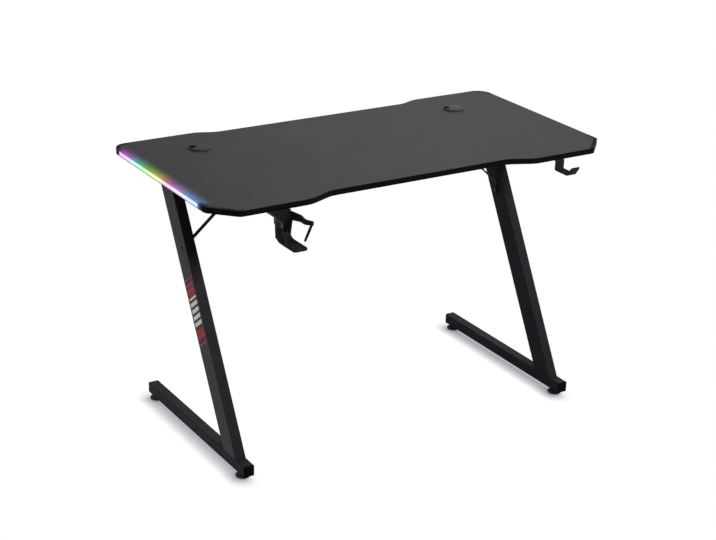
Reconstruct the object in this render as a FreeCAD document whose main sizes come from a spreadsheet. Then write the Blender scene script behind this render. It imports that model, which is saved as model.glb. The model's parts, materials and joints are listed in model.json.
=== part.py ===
# Gaming desk with a lit edge on each side, as a parametric document in millimetres.
# X runs to the right, Y to the rear and Z up.
# The origin lies on the floor, under the middle of the whole depth with the cup holder.

import FreeCAD
import Part
import Sketcher
import os
import re
from collections import defaultdict

# Driving dimensions. Each name becomes an alias in the sheet.
SIZES = {
    # top
    "desk_width": 1200,
    "desk_depth": 600,
    "desk_height": 740,
    "board_thickness": 15,
    "laminate_thickness": 0.6,
    "edge_band_thickness": 1,
    "front_corner_cut": 64,
    "front_corner_radius": 20,
    "rear_corner_radius": 40,
    "front_notch_half": 340,
    "front_notch_run": 70,
    "front_notch_depth": 30,
    "rear_notch_half": 352,
    "rear_notch_run": 49,
    "rear_notch_depth": 20,
    "notch_radius": 80,
    # corner caps
    "cap_width": 10,
    "front_cap_side": 36,
    "front_cap_return": 10,
    "rear_cap_side": 12,
    "rear_cap_return": 4,
    # light bars
    "light_slot_depth": 12,
    "light_slot_lip": 2,
    "light_slot_cover": 2,
    "channel_wall": 1,
    "diffuser_face": 2,
    "diffuser_rib_length": 4,
    "diffuser_rib_thickness": 1,
    "strip_width": 7,
    "strip_thickness": 0.5,
    "strip_end_gap": 4,
    "chip_width": 5,
    "chip_height": 1.6,
    "chip_pitch": 30,
    # cable grommets
    "grommet_inset": 195,
    "grommet_beam_gap": 30.5,
    "grommet_hole": 53,
    "grommet_wall": 2,
    "grommet_lip": 5,
    "grommet_flange": 2,
    "grommet_tail": 3,
    "grommet_cap_thickness": 2.5,
    "grommet_cap_overlap": 4,
    "grommet_cap_rim": 1.5,
    "grommet_skirt_depth": 8,
    "grommet_skirt_wall": 2,
    "grommet_fit": 0.3,
    "cable_notch_width": 14,
    "cable_notch_depth": 16,
    "cable_notch_angle": 152,
    "cable_notch_rounding": 6.4,
    # legs
    "leg_inset": 79,
    "tube_width": 30,
    "tube_wall": 1.5,
    "tube_radius": 2.5,
    "foot_length": 560,
    "foot_center": -9.5,
    "foot_height": 30,
    "foot_clearance": 13,
    "upright_depth": 60,
    "upright_toe": 43,
    "upright_run": 368,
    "top_bar_height": 25,
    "top_bar_front": -222,
    "top_bar_length": 426,
    "plug_cap": 3,
    "plug_depth": 7,
    # levelling feet
    "pad_setback_front": 33,
    "pad_setback_rear": 22,
    "pad_diameter": 38,
    "pad_rim": 5,
    "pad_neck": 20,
    "pad_height": 9,
    "pad_floor": 3.5,
    "stud_diameter": 8,
    "stud_length": 34,
    "stud_clearance": 0.5,
    "stud_fit": 0.08,
    "collar_across": 13,
    "weld_nut_across": 13,
    "weld_nut_height": 6.5,
    "running_gap": 0.2,
    # crossbeams and their bolts
    "beam_height": 25,
    "front_beam_y": -120,
    "rear_beam_y": 98,
    "plate_thickness": 3,
    "plate_length": 64,
    "plate_bolt_spread": 46,
    "bolt_diameter": 6,
    "bolt_clearance": 0.4,
    "bolt_head_diameter": 10.5,
    "bolt_head_height": 3.3,
    "bolt_end": 2,
    "bolt_nut_across": 10,
    "bolt_nut_height": 5,
    "rivet_nut_diameter": 9,
    "rivet_nut_length": 10,
    # screws that hold the board
    "table_screw_front": -190,
    "table_screw_pitch": 142,
    "insert_diameter": 9,
    "insert_length": 11,
    # wood screws
    "wood_screw_diameter": 4,
    "wood_screw_grip": 11,
    "wood_screw_head": 8,
    "wood_screw_head_height": 2.4,
    "wood_screw_clearance": 0.3,
    # braces
    "brace_width": 12,
    "brace_thickness": 3,
    "brace_bolt_drop": 205,
    "brace_bend_drop": 183,
    "brace_run": 211,
    "brace_tab": 38,
    "brace_top_tab": 32,
    # cup holder
    "holder_inset": 172.5,
    "block_top_width": 54,
    "block_bottom_width": 34,
    "block_height": 18,
    "block_depth": 46,
    "block_overhang": 5,
    "block_screw_inset": 11,
    "boss_width": 24,
    "shell_radius": 36,
    "shell_thickness": 4,
    "shell_width": 50,
    "shell_foot_width": 40,
    "shell_top_drop": 6,
    "shell_height": 64,
    "shell_arch_radius": 16,
    "tongue_width": 40,
    "tongue_reach": 100,
    "tongue_thickness": 6,
    "tongue_corner": 9,
    "heel_radius": 22,
    "claw_rise": 3,
    "claw_height": 23,
    "claw_tip_height": 10,
    "claw_tip_drop": 8,
    "claw_thickness": 4,
    "claw_bulge": 36,
    "claw_bulge_reach": 38,
    "claw_waist": 33,
    "claw_waist_reach": 62,
    "claw_flare": 46,
    "claw_reach": 79,
    "claw_bend_radius": 18,
    "finger_thickness": 5,
    "finger_width": 4.8,
    "finger_top_drop": 2.5,
    "finger_knee_drop": 29,
    "finger_knee_inset": 11,
    "finger_knee_rise": 2.4,
    "finger_knee_width": 6.5,
    "finger_end_drop": 49.5,
    "finger_end_inset": 22,
    "finger_end_width": 3.6,
    # headphone hook
    "hook_inset": 178,
    "hook_width": 29,
    "hook_thickness": 3,
    "hook_flange": 48,
    "hook_drop": 29,
    "hook_reach": 50,
    "hook_lip_rise": 25,
    "hook_lip_lean": 17,
    "hook_bend_radius": 2,
    "hook_screw_inset": 12,
    "hook_screw_pitch": 22,
    # light controller
    "controller_x": -200,
    "controller_setback": 85,
    "case_length": 74,
    "case_width": 44,
    "case_height": 18,
    "case_wall": 2,
    "case_base": 2,
    "case_ear": 14,
    "circuit_gap": 1,
    "circuit_thickness": 1.6,
    "circuit_height": 8,
    "boss_diameter": 6,
    "boss_inset": 7,
    "button_offset": -16,
    "button_diameter": 12,
    "button_fit": 0.3,
    "button_flange": 1.2,
    "button_flange_rim": 1.5,
    "button_proud": 1.8,
    "button_travel": 1,
    "switch_width": 6,
    "switch_height": 3,
    "switch_stem": 3.5,
    "inlet_offset": 14,
    "inlet_width": 11,
    "inlet_height": 9,
    "inlet_length": 14,
    "inlet_bore": 6.4,
    "inlet_bore_depth": 10,
}

# Dimensions that follow from the driving ones, with Y counted from the top's middle.
DERIVED = {
    "grommet_x": "desk_width / 2 - grommet_inset",
    "grommet_y": "rear_beam_y + tube_width / 2 + grommet_beam_gap + grommet_hole / 2",
    "brace_bolt_height": "desk_height - board_thickness - brace_bolt_drop",
    "brace_bend_height": "desk_height - board_thickness - brace_bend_drop",
    "holder_x": "holder_inset - desk_width / 2",
    "hook_x": "desk_width / 2 - hook_inset",
    "controller_y": "desk_depth / 2 - controller_setback",
}

# A cutter reaches this far past the face that it opens.
CUT_MARGIN = 1
# Two edge ends nearer than this lie at the same corner.
SAME_CORNER = 1e-4
SIDES = {"left": -1, "right": 1}
TABLE_SCREWS_PER_LEG = 3
HOOK_SCREWS = 2

doc = FreeCAD.newDocument("gaming_desk")
sheet = doc.addObject("Spreadsheet::Sheet", "Sizes")
CELLS = SIZES | {size_name: f"={text}" for size_name, text in DERIVED.items()}
for row, (size_name, content) in enumerate(CELLS.items(), start=1):
    sheet.set(f"A{row}", size_name)
    sheet.set(f"B{row}", str(content))
    sheet.setAlias(f"B{row}", size_name)
doc.recompute()

parts = []
drilled = defaultdict(list)


# Formulas

def formula(text):
    """Return the text with every size written as a cell of the sheet."""
    def cell(word):
        return f"Sizes.{word.group()}" if word.group() in CELLS else word.group()
    return re.sub(r"[a-z_]+", cell, str(text))


def value(text):
    """Return the number that a formula gives now."""
    return float(sheet.evalExpression(formula(text)))


def bind(thing, prop, text):
    """Tie a property of a document object to a formula of the sheet."""
    thing.setExpression(prop, formula(text))


HALF_WIDTH = "(desk_width / 2)"
# The top's middle stands behind the origin by half of what the cup holder adds in front.
TOP_Y = "(tongue_reach / 2)"
FRONT = f"({TOP_Y} - desk_depth / 2)"
REAR = f"({TOP_Y} + desk_depth / 2)"
UNDERSIDE = "(desk_height - board_thickness)"
CORE_TOP = "(desk_height - laminate_thickness)"
LEG_X = f"({HALF_WIDTH} - leg_inset - tube_width / 2)"
LEG_INNER = f"({HALF_WIDTH} - leg_inset - tube_width)"
FOOT_Y = f"({TOP_Y} + foot_center)"
FOOT_FRONT = f"({FOOT_Y} - foot_length / 2)"
FOOT_REAR = f"({FOOT_Y} + foot_length / 2)"
FOOT_TOP = "(foot_clearance + foot_height)"
BAR_BOTTOM = f"({UNDERSIDE} - top_bar_height)"
BAR_FRONT = f"({TOP_Y} + top_bar_front)"
BAR_REAR = f"({BAR_FRONT} + top_bar_length)"
UPRIGHT_RISE = f"({BAR_BOTTOM} - {FOOT_TOP})"
UPRIGHT_STRETCH = f"(sqrt(upright_run ^ 2 + {UPRIGHT_RISE} ^ 2) / {UPRIGHT_RISE})"
UPRIGHT_SPAN = f"(upright_depth * {UPRIGHT_STRETCH})"
SLOT_FRONT = f"({FRONT} + front_corner_cut + front_cap_side)"
SLOT_REAR = f"({REAR} - rear_corner_radius - rear_cap_side)"
SLOT_LENGTH = f"({SLOT_REAR} - {SLOT_FRONT})"
SLOT_BOTTOM = f"({UNDERSIDE} + light_slot_lip)"
SLOT_TOP = "(desk_height - light_slot_cover)"


def upright_front(height):
    """Return the formula of where the front of an upright stands at a height."""
    return f"({FOOT_FRONT} + upright_toe + upright_run * ({height} - {FOOT_TOP}) / {UPRIGHT_RISE})"


# Document objects

def place(thing, x=0, y=0, z=0):
    """Tie the place of an object to three formulas."""
    for axis, text in zip("xyz", (x, y, z)):
        bind(thing, f"Placement.Base.{axis}", text)


def block(name, x, y, z, size_x, size_y, size_z):
    """Return a box from its middle in X and Y, its bottom in Z and its three sizes."""
    box = doc.addObject("Part::Box", name)
    bind(box, "Length", size_x)
    bind(box, "Width", size_y)
    bind(box, "Height", size_z)
    place(box, f"({x}) - ({size_x}) / 2", f"({y}) - ({size_y}) / 2", z)
    return box


TURNS = {
    "up": FreeCAD.Rotation(),
    "right": FreeCAD.Rotation(FreeCAD.Vector(0, 1, 0), 90),
    "left": FreeCAD.Rotation(FreeCAD.Vector(0, 1, 0), -90),
    "front": FreeCAD.Rotation(FreeCAD.Vector(1, 0, 0), 90),
}


def rod(name, x, y, z, diameter, length, direction="up"):
    """Return a cylinder that starts at a point and runs in a direction."""
    cylinder = doc.addObject("Part::Cylinder", name)
    bind(cylinder, "Radius", f"({diameter}) / 2")
    bind(cylinder, "Height", length)
    cylinder.Placement = FreeCAD.Placement(FreeCAD.Vector(), TURNS[direction])
    place(cylinder, x, y, z)
    return cylinder


def hexagon(name, x, y, z, across, length, direction="up"):
    """Return a six-sided prism, given its size across the flats."""
    prism = doc.addObject("Part::Prism", name)
    prism.Polygon = 6
    bind(prism, "Circumradius", f"({across}) / sqrt(3)")
    bind(prism, "Height", length)
    prism.Placement = FreeCAD.Placement(FreeCAD.Vector(), TURNS[direction])
    place(prism, x, y, z)
    return prism


def merge(name, *pieces):
    """Return the pieces fused into one shape."""
    fused = doc.addObject("Part::MultiFuse", name)
    fused.Shapes = pieces
    return fused


def cut(name, base, *tools):
    """Return a base with one or more tools cut out of it."""
    result = doc.addObject("Part::Cut", name)
    result.Base = base
    result.Tool = tools[0] if len(tools) == 1 else merge(f"{name}_tools", *tools)
    return result


def group(name, *pieces):
    """Return separate solids held together as one sub-part."""
    compound = doc.addObject("Part::Compound", name)
    compound.Links = pieces
    return compound


def keep(thing, label):
    """Name a finished sub-part and keep it for the export."""
    thing.Label = label
    parts.append(thing)
    return thing


def body_plane(body, role):
    """Return one of a body's own origin planes."""
    return next(plane for plane in body.Origin.OriginFeatures if plane.Role == role)


def polygon(body, name, role, corners, offset=0):
    """Return a closed sketch whose corners are tied to formulas."""
    sketch = body.newObject("Sketcher::SketchObject", name)
    sketch.AttachmentSupport = (body_plane(body, role), [""])
    sketch.MapMode = "FlatFace"
    bind(sketch, "AttachmentOffset.Base.z", offset)
    points = [FreeCAD.Vector(value(x), value(y), 0) for x, y in corners]
    count = len(points)
    for index in range(count):
        sketch.addGeometry(Part.LineSegment(points[index], points[(index + 1) % count]), False)
    for index in range(count):
        sketch.addConstraint(Sketcher.Constraint("Coincident", index, 2, (index + 1) % count, 1))
    for index, (corner, point) in enumerate(zip(corners, points)):
        for kind, text, number in zip(("DistanceX", "DistanceY"), corner, point):
            rule = sketch.addConstraint(Sketcher.Constraint(kind, -1, 1, index, 1, number))
            bind(sketch, f"Constraints[{rule}]", text)
    return sketch


def pad(body, name, role, corners, length, offset=0):
    """Add a padded polygon to a body. It grows along the plane's normal from the offset."""
    feature = body.newObject("PartDesign::Pad", name)
    feature.Profile = polygon(body, f"{name}_sketch", role, corners, offset)
    bind(feature, "Length", length)
    return feature


def pocket(body, name, role, corners, length, offset=0):
    """Cut a polygon out of a body, against the plane's normal from the offset."""
    doc.recompute()
    before = body.Shape.Volume
    feature = body.newObject("PartDesign::Pocket", name)
    feature.Profile = polygon(body, f"{name}_sketch", role, corners, offset)
    bind(feature, "Length", length)
    doc.recompute()
    if body.Shape.Volume >= before:
        raise RuntimeError(f"{name} cuts nothing")
    return feature


def revolve(body, name, corners):
    """Add a polygon of radius and height, turned once round the Z axis."""
    feature = body.newObject("PartDesign::Revolution", name)
    sketch = polygon(body, f"{name}_sketch", "XZ_Plane", corners)
    feature.Profile = sketch
    feature.ReferenceAxis = (sketch, ["V_Axis"])
    feature.Angle = 360
    return feature


def round_edges(body, name, radius, chosen):
    """Fillet the edges of a body that a test picks."""
    doc.recompute()
    base = body.Tip
    names = [f"Edge{index}" for index, edge in enumerate(base.Shape.Edges, start=1) if chosen(edge)]
    feature = body.newObject("PartDesign::Fillet", name)
    feature.Base = (base, names)
    bind(feature, "Radius", radius)
    doc.recompute()


def along(axis, corners):
    """Return a test for straight edges parallel to an axis that pass through given corners."""
    ends = [(value(first), value(second)) for first, second in corners]
    across = [index for index in range(3) if index != axis]

    def chosen(edge):
        spots = [vertex.Point for vertex in edge.Vertexes]
        return len(spots) == 2 and any(
            all(abs(spot[across[0]] - first) < SAME_CORNER and abs(spot[across[1]] - second) < SAME_CORNER
                for spot in spots)
            for first, second in ends
        )
    return chosen


X_AXIS, Y_AXIS, Z_AXIS = range(3)


def screw(name, x, y, z, diameter, length, head, head_height, direction="up"):
    """Return a screw whose head bears at a point and whose shank runs in a direction."""
    shank = rod(f"{name}_shank", x, y, z, diameter, length, direction)
    step = {"up": (0, 0, -1), "right": (-1, 0, 0), "left": (1, 0, 0)}[direction]
    corner = [f"({base}) + {way} * ({head_height})" for base, way in zip((x, y, z), step)]
    cap = rod(f"{name}_head", *corner, head, head_height, direction)
    return merge(name, shank, cap)


def wood_screw(name, x, y, z, through):
    """Return a screw driven up into the board through a thickness, and drill the board for it."""
    drilled["board"].append(
        rod(f"{name}_pilot", x, y, UNDERSIDE, "wood_screw_diameter", "wood_screw_grip"))
    return screw(name, x, y, z, "wood_screw_diameter", f"{through} + wood_screw_grip",
                 "wood_screw_head", "wood_screw_head_height")


def wood_screw_hole(name, x, y, z, through):
    """Return the cutter of a clearance hole for a wood screw."""
    return rod(name, x, y, f"{z} - {CUT_MARGIN}", "wood_screw_diameter + 2 * wood_screw_clearance",
               f"{through} + 2 * {CUT_MARGIN}")


# Top

def notch_shift(end, inset):
    """Return how far an inset moves the two ends of a notch's slope along the edge."""
    run, depth = f"{end}_notch_run", f"{end}_notch_depth"
    return f"({inset}) * (sqrt({run} ^ 2 + {depth} ^ 2) - {run}) / {depth}"


def mirrored(points):
    """Return points with their X turned round, in reverse order."""
    return [(f"-({x})", y) for x, y in reversed(points)]


def top_outline(name, inset, bottom, height):
    """Return the outline of the top as a slab, its front and rear edges drawn in by an inset."""
    front, rear = f"{FRONT} + {inset}", f"{REAR} - {inset}"
    front_shift, rear_shift = notch_shift("front", inset), notch_shift("rear", inset)
    front_corner = [(f"{HALF_WIDTH} - front_corner_cut", front),
                    (HALF_WIDTH, f"{FRONT} + front_corner_cut")]
    rear_corner = [(HALF_WIDTH, rear)]
    front_mouth = (f"front_notch_half + {front_shift}", front)
    front_floor = (f"front_notch_half - front_notch_run + {front_shift}", f"{front} + front_notch_depth")
    rear_mouth = (f"rear_notch_half + {rear_shift}", rear)
    rear_floor = (f"rear_notch_half - rear_notch_run + {rear_shift}", f"{rear} - rear_notch_depth")
    right = [front_floor, front_mouth] + front_corner + rear_corner + [rear_mouth, rear_floor]
    slab = doc.addObject("PartDesign::Body", name)
    pad(slab, f"{name}_pad", "XY_Plane", right + mirrored(right), height, bottom)
    roundings = {
        "front_corners": ("front_corner_radius", front_corner),
        "rear_corners": ("rear_corner_radius", rear_corner),
        "mouths": (f"notch_radius - {inset}", [front_mouth, rear_mouth]),
        "floors": (f"notch_radius + {inset}", [front_floor, rear_floor]),
    }
    for kind, (radius, corners) in roundings.items():
        round_edges(slab, f"{name}_{kind}", radius, along(Z_AXIS, corners + mirrored(corners)))
    return slab


def corner_cap(label, sign, end):
    """Return a moulded cap round one corner of the top, as thick as the board."""
    far_edge, inward = (REAR, -1) if end == "rear" else (FRONT, 1)
    side, back, radius = f"{end}_cap_side", f"{end}_cap_return", f"{end}_corner_radius"

    def corner(in_from_side, in_from_edge):
        return (f"{sign} * ({HALF_WIDTH} - ({in_from_side}))", f"{far_edge} + {inward} * ({in_from_edge})")

    if end == "rear":
        edge = radius
        outer, inner = [corner(0, 0)], [corner("cap_width", "cap_width")]
    else:
        edge, slack = "front_corner_cut", "cap_width * (sqrt(2) - 1)"
        outer = [corner(0, edge), corner(edge, 0)]
        inner = [corner(f"{edge} + {slack}", "cap_width"), corner("cap_width", f"{edge} + {slack}")]
    outline = [corner(0, f"{edge} + {side}")] + outer + [corner(f"{edge} + {back}", 0)]
    outline += [corner(f"{edge} + {back}", "cap_width")] + inner + [corner("cap_width", f"{edge} + {side}")]
    body = doc.addObject("PartDesign::Body", f"{label}_body")
    pad(body, f"{label}_pad", "XY_Plane", outline, "board_thickness", UNDERSIDE)
    round_edges(body, f"{label}_outer", radius, along(Z_AXIS, outer))
    round_edges(body, f"{label}_inner", f"{radius} - cap_width", along(Z_AXIS, inner))
    return keep(body, label)


def corner_caps():
    """Make the four corner caps, which also cut the board and its bands."""
    for end in ("front", "rear"):
        for side, sign in SIDES.items():
            drilled["caps"].append(corner_cap(f"{end}_{side}_corner_cap", sign, end))


def light_bar(side, sign):
    """Make one light bar: a channel in the board's edge, a lit strip and a snapped-in diffuser."""
    back, mouth = f"{HALF_WIDTH} - light_slot_depth", f"{HALF_WIDTH} - diffuser_face"
    drilled["board"].append(block(
        f"{side}_light_slot", f"{sign} * ({HALF_WIDTH} - light_slot_depth / 2 + {CUT_MARGIN} / 2)",
        f"({SLOT_FRONT} + {SLOT_REAR}) / 2", SLOT_BOTTOM,
        f"light_slot_depth + {CUT_MARGIN}", SLOT_LENGTH, f"{SLOT_TOP} - {SLOT_BOTTOM}"))

    def section(points):
        return [(f"{sign} * ({x})", z) for x, z in points]

    floor, roof = f"{SLOT_BOTTOM} + channel_wall", f"{SLOT_TOP} - channel_wall"
    pocket_back = f"{back} + channel_wall"
    channel = doc.addObject("PartDesign::Body", f"{side}_channel_body")
    pad(channel, f"{side}_channel_pad", "XZ_Plane", section([
        (back, SLOT_BOTTOM), (mouth, SLOT_BOTTOM), (mouth, floor), (pocket_back, floor),
        (pocket_back, roof), (mouth, roof), (mouth, SLOT_TOP), (back, SLOT_TOP),
    ]), SLOT_LENGTH, f"-{SLOT_REAR}")
    keep(channel, f"{side}_light_channel")

    rib_end = f"{mouth} - diffuser_rib_length"
    rib_top, rib_bottom = f"{roof} - diffuser_rib_thickness", f"{floor} + diffuser_rib_thickness"
    diffuser = doc.addObject("PartDesign::Body", f"{side}_diffuser_body")
    pad(diffuser, f"{side}_diffuser_pad", "XZ_Plane", section([
        (HALF_WIDTH, SLOT_BOTTOM), (HALF_WIDTH, SLOT_TOP), (mouth, SLOT_TOP), (mouth, roof),
        (rib_end, roof), (rib_end, rib_top), (mouth, rib_top), (mouth, rib_bottom),
        (rib_end, rib_bottom), (rib_end, floor), (mouth, floor), (mouth, SLOT_BOTTOM),
    ]), SLOT_LENGTH, f"-{SLOT_REAR}")
    keep(diffuser, f"{side}_light_diffuser")

    middle_y, middle_z = f"({SLOT_FRONT} + {SLOT_REAR}) / 2", f"({SLOT_BOTTOM} + {SLOT_TOP}) / 2"
    tape = block(
        f"{side}_tape", f"{sign} * ({pocket_back} + strip_thickness / 2)", middle_y,
        f"{middle_z} - strip_width / 2",
        "strip_thickness", f"{SLOT_LENGTH} - 2 * strip_end_gap", "strip_width")
    count = int(value(f"({SLOT_LENGTH} - 2 * strip_end_gap) / chip_pitch"))
    chips = [
        block(f"{side}_chip_{index}", f"{sign} * ({pocket_back} + strip_thickness + chip_height / 2)",
              f"{middle_y} + {index - (count - 1) / 2} * chip_pitch", f"{middle_z} - chip_width / 2",
              "chip_height", "chip_width", "chip_width")
        for index in range(count)
    ]
    keep(merge(f"{side}_strip", tape, *chips), f"{side}_light_strip")


def grommet(side, sign):
    """Make one cable grommet: a flanged sleeve in the board and a turning cap with a notch."""
    x, y = f"{sign} * grommet_x", f"({TOP_Y} + grommet_y)"
    bore = "(grommet_hole / 2 - grommet_wall)"
    flange_top = "(desk_height + grommet_flange)"
    tail = f"({UNDERSIDE} - grommet_tail)"
    opening = rod(f"{side}_grommet_opening", x, y, f"{UNDERSIDE} - {CUT_MARGIN}", "grommet_hole",
                  f"board_thickness + 2 * {CUT_MARGIN}")
    drilled["board"].append(opening)
    drilled["laminate"].append(opening)

    sleeve = doc.addObject("PartDesign::Body", f"{side}_sleeve_body")
    revolve(sleeve, f"{side}_sleeve_turn", [
        (bore, tail), ("grommet_hole / 2", tail), ("grommet_hole / 2", "desk_height"),
        ("grommet_hole / 2 + grommet_lip", "desk_height"),
        ("grommet_hole / 2 + grommet_lip", flange_top), (bore, flange_top),
    ])
    place(sleeve, x, y)
    keep(sleeve, f"{side}_grommet_sleeve")

    seat = f"({flange_top} + running_gap)"
    rim = f"({bore} + grommet_cap_overlap)"
    skirt, skirt_end = f"({bore} - grommet_fit)", f"({seat} - grommet_skirt_depth)"
    crown = f"({seat} + grommet_cap_thickness)"
    cap = doc.addObject("PartDesign::Body", f"{side}_cap_body")
    revolve(cap, f"{side}_cap_turn", [
        (0, crown), (f"{rim} - grommet_cap_rim", crown), (rim, f"{crown} - grommet_cap_rim"), (rim, seat),
        (skirt, seat), (skirt, skirt_end), (f"{skirt} - grommet_skirt_wall", skirt_end),
        (f"{skirt} - grommet_skirt_wall", seat), (0, seat),
    ])
    inner, outer = f"{rim} - cable_notch_depth", f"{rim} + {CUT_MARGIN}"
    half = "cable_notch_width / 2"
    pocket(cap, f"{side}_cap_notch", "XY_Plane",
           [(inner, f"-{half}"), (outer, f"-{half}"), (outer, half), (inner, half)],
           f"grommet_skirt_depth + grommet_cap_thickness + 2 * {CUT_MARGIN}", f"{crown} + {CUT_MARGIN}")
    round_edges(cap, f"{side}_cap_notch_end", "cable_notch_rounding",
                along(Z_AXIS, [(inner, f"-{half}"), (inner, half)]))
    cap.Placement = FreeCAD.Placement(
        FreeCAD.Vector(), FreeCAD.Rotation(FreeCAD.Vector(0, 0, 1), value("cable_notch_angle")))
    place(cap, x, y)
    keep(cap, f"{side}_grommet_cap")


def tabletop():
    """Make the board, its laminate and its edge bands, with everything that is cut into them."""
    core = top_outline("core_slab", "edge_band_thickness", UNDERSIDE, "board_thickness - laminate_thickness")
    keep(cut("board_cut", core, *drilled["caps"], *drilled["board"]), "tabletop_board")
    skin = top_outline("skin_slab", "edge_band_thickness", CORE_TOP, "laminate_thickness")
    keep(cut("laminate_cut", skin, *drilled["caps"], *drilled["laminate"]), "top_laminate")
    whole = top_outline("whole_slab", "0", UNDERSIDE, "board_thickness")
    inner = top_outline("inner_slab", "edge_band_thickness", UNDERSIDE, "board_thickness")
    keep(cut("band_cut", whole, inner, *drilled["caps"]), "edge_bands")


# Legs

def bar(name, axis, across, bottom, section, start, length, radius):
    """Return a body with a rounded rectangle for its section, carried along X or Y from a start."""
    width, height = section
    left, right = f"{across} - ({width}) / 2", f"{across} + ({width}) / 2"
    top = f"{bottom} + ({height})"
    corners = [(left, bottom), (right, bottom), (right, top), (left, top)]
    body = doc.addObject("PartDesign::Body", name)
    role, offset = ("YZ_Plane", start) if axis == X_AXIS else ("XZ_Plane", f"-({start} + {length})")
    pad(body, f"{name}_pad", role, corners, length, offset)
    round_edges(body, f"{name}_corners", radius, along(axis, corners))
    return body


def tube_inside(height):
    """Return the section inside a tube of a height, as two formulas."""
    return "tube_width - 2 * tube_wall", f"{height} - 2 * tube_wall"


def tube(label, axis, across, bottom, height, start, length):
    """Make a tube along X or Y, with the holes that were drilled for its label."""
    outside = bar(f"{label}_outside", axis, across, bottom, ("tube_width", height), start, length, "tube_radius")
    inside = bar(f"{label}_inside", axis, across, f"{bottom} + tube_wall", tube_inside(height),
                 f"{start} - {CUT_MARGIN}", f"({length} + 2 * {CUT_MARGIN})", "tube_radius - tube_wall")
    return keep(cut(f"{label}_tube", outside, inside, *drilled[label]), label)


def end_plug(name, x, end, way, height, bottom):
    """Return a plug for a tube along Y: a cap as large as the tube and a tongue inside it."""
    cap_start, tongue_start = {
        -1: (end, f"{end} + plug_cap"), 1: (f"{end} - plug_cap", f"{end} - plug_cap - plug_depth"),
    }[way]
    cap = bar(f"{name}_cap", Y_AXIS, x, bottom, ("tube_width", height), cap_start, "plug_cap", "tube_radius")
    tongue = bar(f"{name}_tongue", Y_AXIS, x, f"{bottom} + tube_wall", tube_inside(height),
                 tongue_start, "plug_depth", "tube_radius - tube_wall")
    return merge(name, cap, tongue)


def upright(side, sign):
    """Make one leaning upright, a tube cut level where it meets the foot bar and the top bar."""
    label = f"{side}_upright"
    low, high = upright_front(FOOT_TOP), upright_front(BAR_BOTTOM)
    wall = f"tube_wall * {UPRIGHT_STRETCH}"

    def slanted(inset):
        return [(f"{low} + {inset}", FOOT_TOP), (f"{low} + {UPRIGHT_SPAN} - {inset}", FOOT_TOP),
                (f"{high} + {UPRIGHT_SPAN} - {inset}", BAR_BOTTOM), (f"{high} + {inset}", BAR_BOTTOM)]

    body = doc.addObject("PartDesign::Body", f"{label}_body")
    start = f"{sign} * {LEG_X} - tube_width / 2"
    pad(body, f"{label}_pad", "YZ_Plane", slanted("0"), "tube_width", start)
    half_rise = value(UPRIGHT_RISE) / 2
    round_edges(body, f"{label}_corners", "tube_radius", lambda edge: edge.BoundBox.ZLength > half_rise)
    pocket(body, f"{label}_hollow", "YZ_Plane", slanted(wall), "tube_width - 2 * tube_wall",
           f"{start} + tube_width - tube_wall")
    return keep(cut(f"{label}_drilled", body, *drilled[label]), label)


def legs():
    """Make both legs, each a foot bar, an upright and a top bar, with the plugs of their ends."""
    foot_plugs, bar_plugs = [], []
    for side, sign in SIDES.items():
        x = f"{sign} * {LEG_X}"
        tube(f"{side}_foot_bar", Y_AXIS, x, "foot_clearance", "foot_height",
             f"{FOOT_FRONT} + plug_cap", "(foot_length - 2 * plug_cap)")
        tube(f"{side}_top_bar", Y_AXIS, x, BAR_BOTTOM, "top_bar_height",
             f"{BAR_FRONT} + plug_cap", "(top_bar_length - 2 * plug_cap)")
        upright(side, sign)
        for end, way, foot_end, bar_end in (("front", -1, FOOT_FRONT, BAR_FRONT),
                                            ("rear", 1, FOOT_REAR, BAR_REAR)):
            foot_plugs.append(end_plug(f"{side}_{end}_foot_plug", x, foot_end, way,
                                       "foot_height", "foot_clearance"))
            bar_plugs.append(end_plug(f"{side}_{end}_bar_plug", x, bar_end, way,
                                      "top_bar_height", BAR_BOTTOM))
    keep(group("foot_plug_group", *foot_plugs), "foot_bar_plugs")
    keep(group("bar_plug_group", *bar_plugs), "top_bar_plugs")


def levelling_feet():
    """Make the four levelling feet: pad, stud with a collar, and the nut welded in the foot bar."""
    nuts = []
    places = {"front": f"({FOOT_FRONT} + pad_setback_front)", "rear": f"({FOOT_REAR} - pad_setback_rear)"}
    for end, y in places.items():
        for side, sign in SIDES.items():
            x = f"{sign} * {LEG_X}"
            name = f"{end}_{side}"
            socket = "stud_diameter / 2 + stud_fit"
            foot = doc.addObject("PartDesign::Body", f"{name}_pad_body")
            revolve(foot, f"{name}_pad_turn", [
                (0, 0), ("pad_diameter / 2", 0), ("pad_diameter / 2", "pad_rim"),
                ("pad_neck / 2", "pad_height"), (socket, "pad_height"), (socket, "pad_floor"),
                (0, "pad_floor"),
            ])
            place(foot, x, y)
            keep(foot, f"{name}_foot_pad")

            collar_bottom = "(pad_height + running_gap)"
            shank = rod(f"{name}_shank", x, y, "pad_floor + running_gap", "stud_diameter", "stud_length")
            collar = hexagon(f"{name}_collar", x, y, collar_bottom, "collar_across",
                             f"foot_clearance - running_gap - {collar_bottom}")
            keep(merge(f"{name}_stud_piece", shank, collar), f"{name}_foot_stud")

            nut_bottom = "(foot_clearance + tube_wall)"
            nut = hexagon(f"{name}_nut_blank", x, y, nut_bottom, "weld_nut_across", "weld_nut_height")
            thread = rod(f"{name}_nut_bore", x, y, f"{nut_bottom} - {CUT_MARGIN}",
                         "stud_diameter + 2 * stud_fit", f"weld_nut_height + 2 * {CUT_MARGIN}")
            nuts.append(cut(f"{name}_nut", nut, thread))
            drilled[f"{side}_foot_bar"].append(
                rod(f"{name}_foot_hole", x, y, f"foot_clearance - {CUT_MARGIN}",
                    "stud_diameter + 2 * stud_clearance", f"tube_wall + 2 * {CUT_MARGIN}"))
    keep(group("nut_group", *nuts), "foot_weld_nuts")


# Frame under the top

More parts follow.
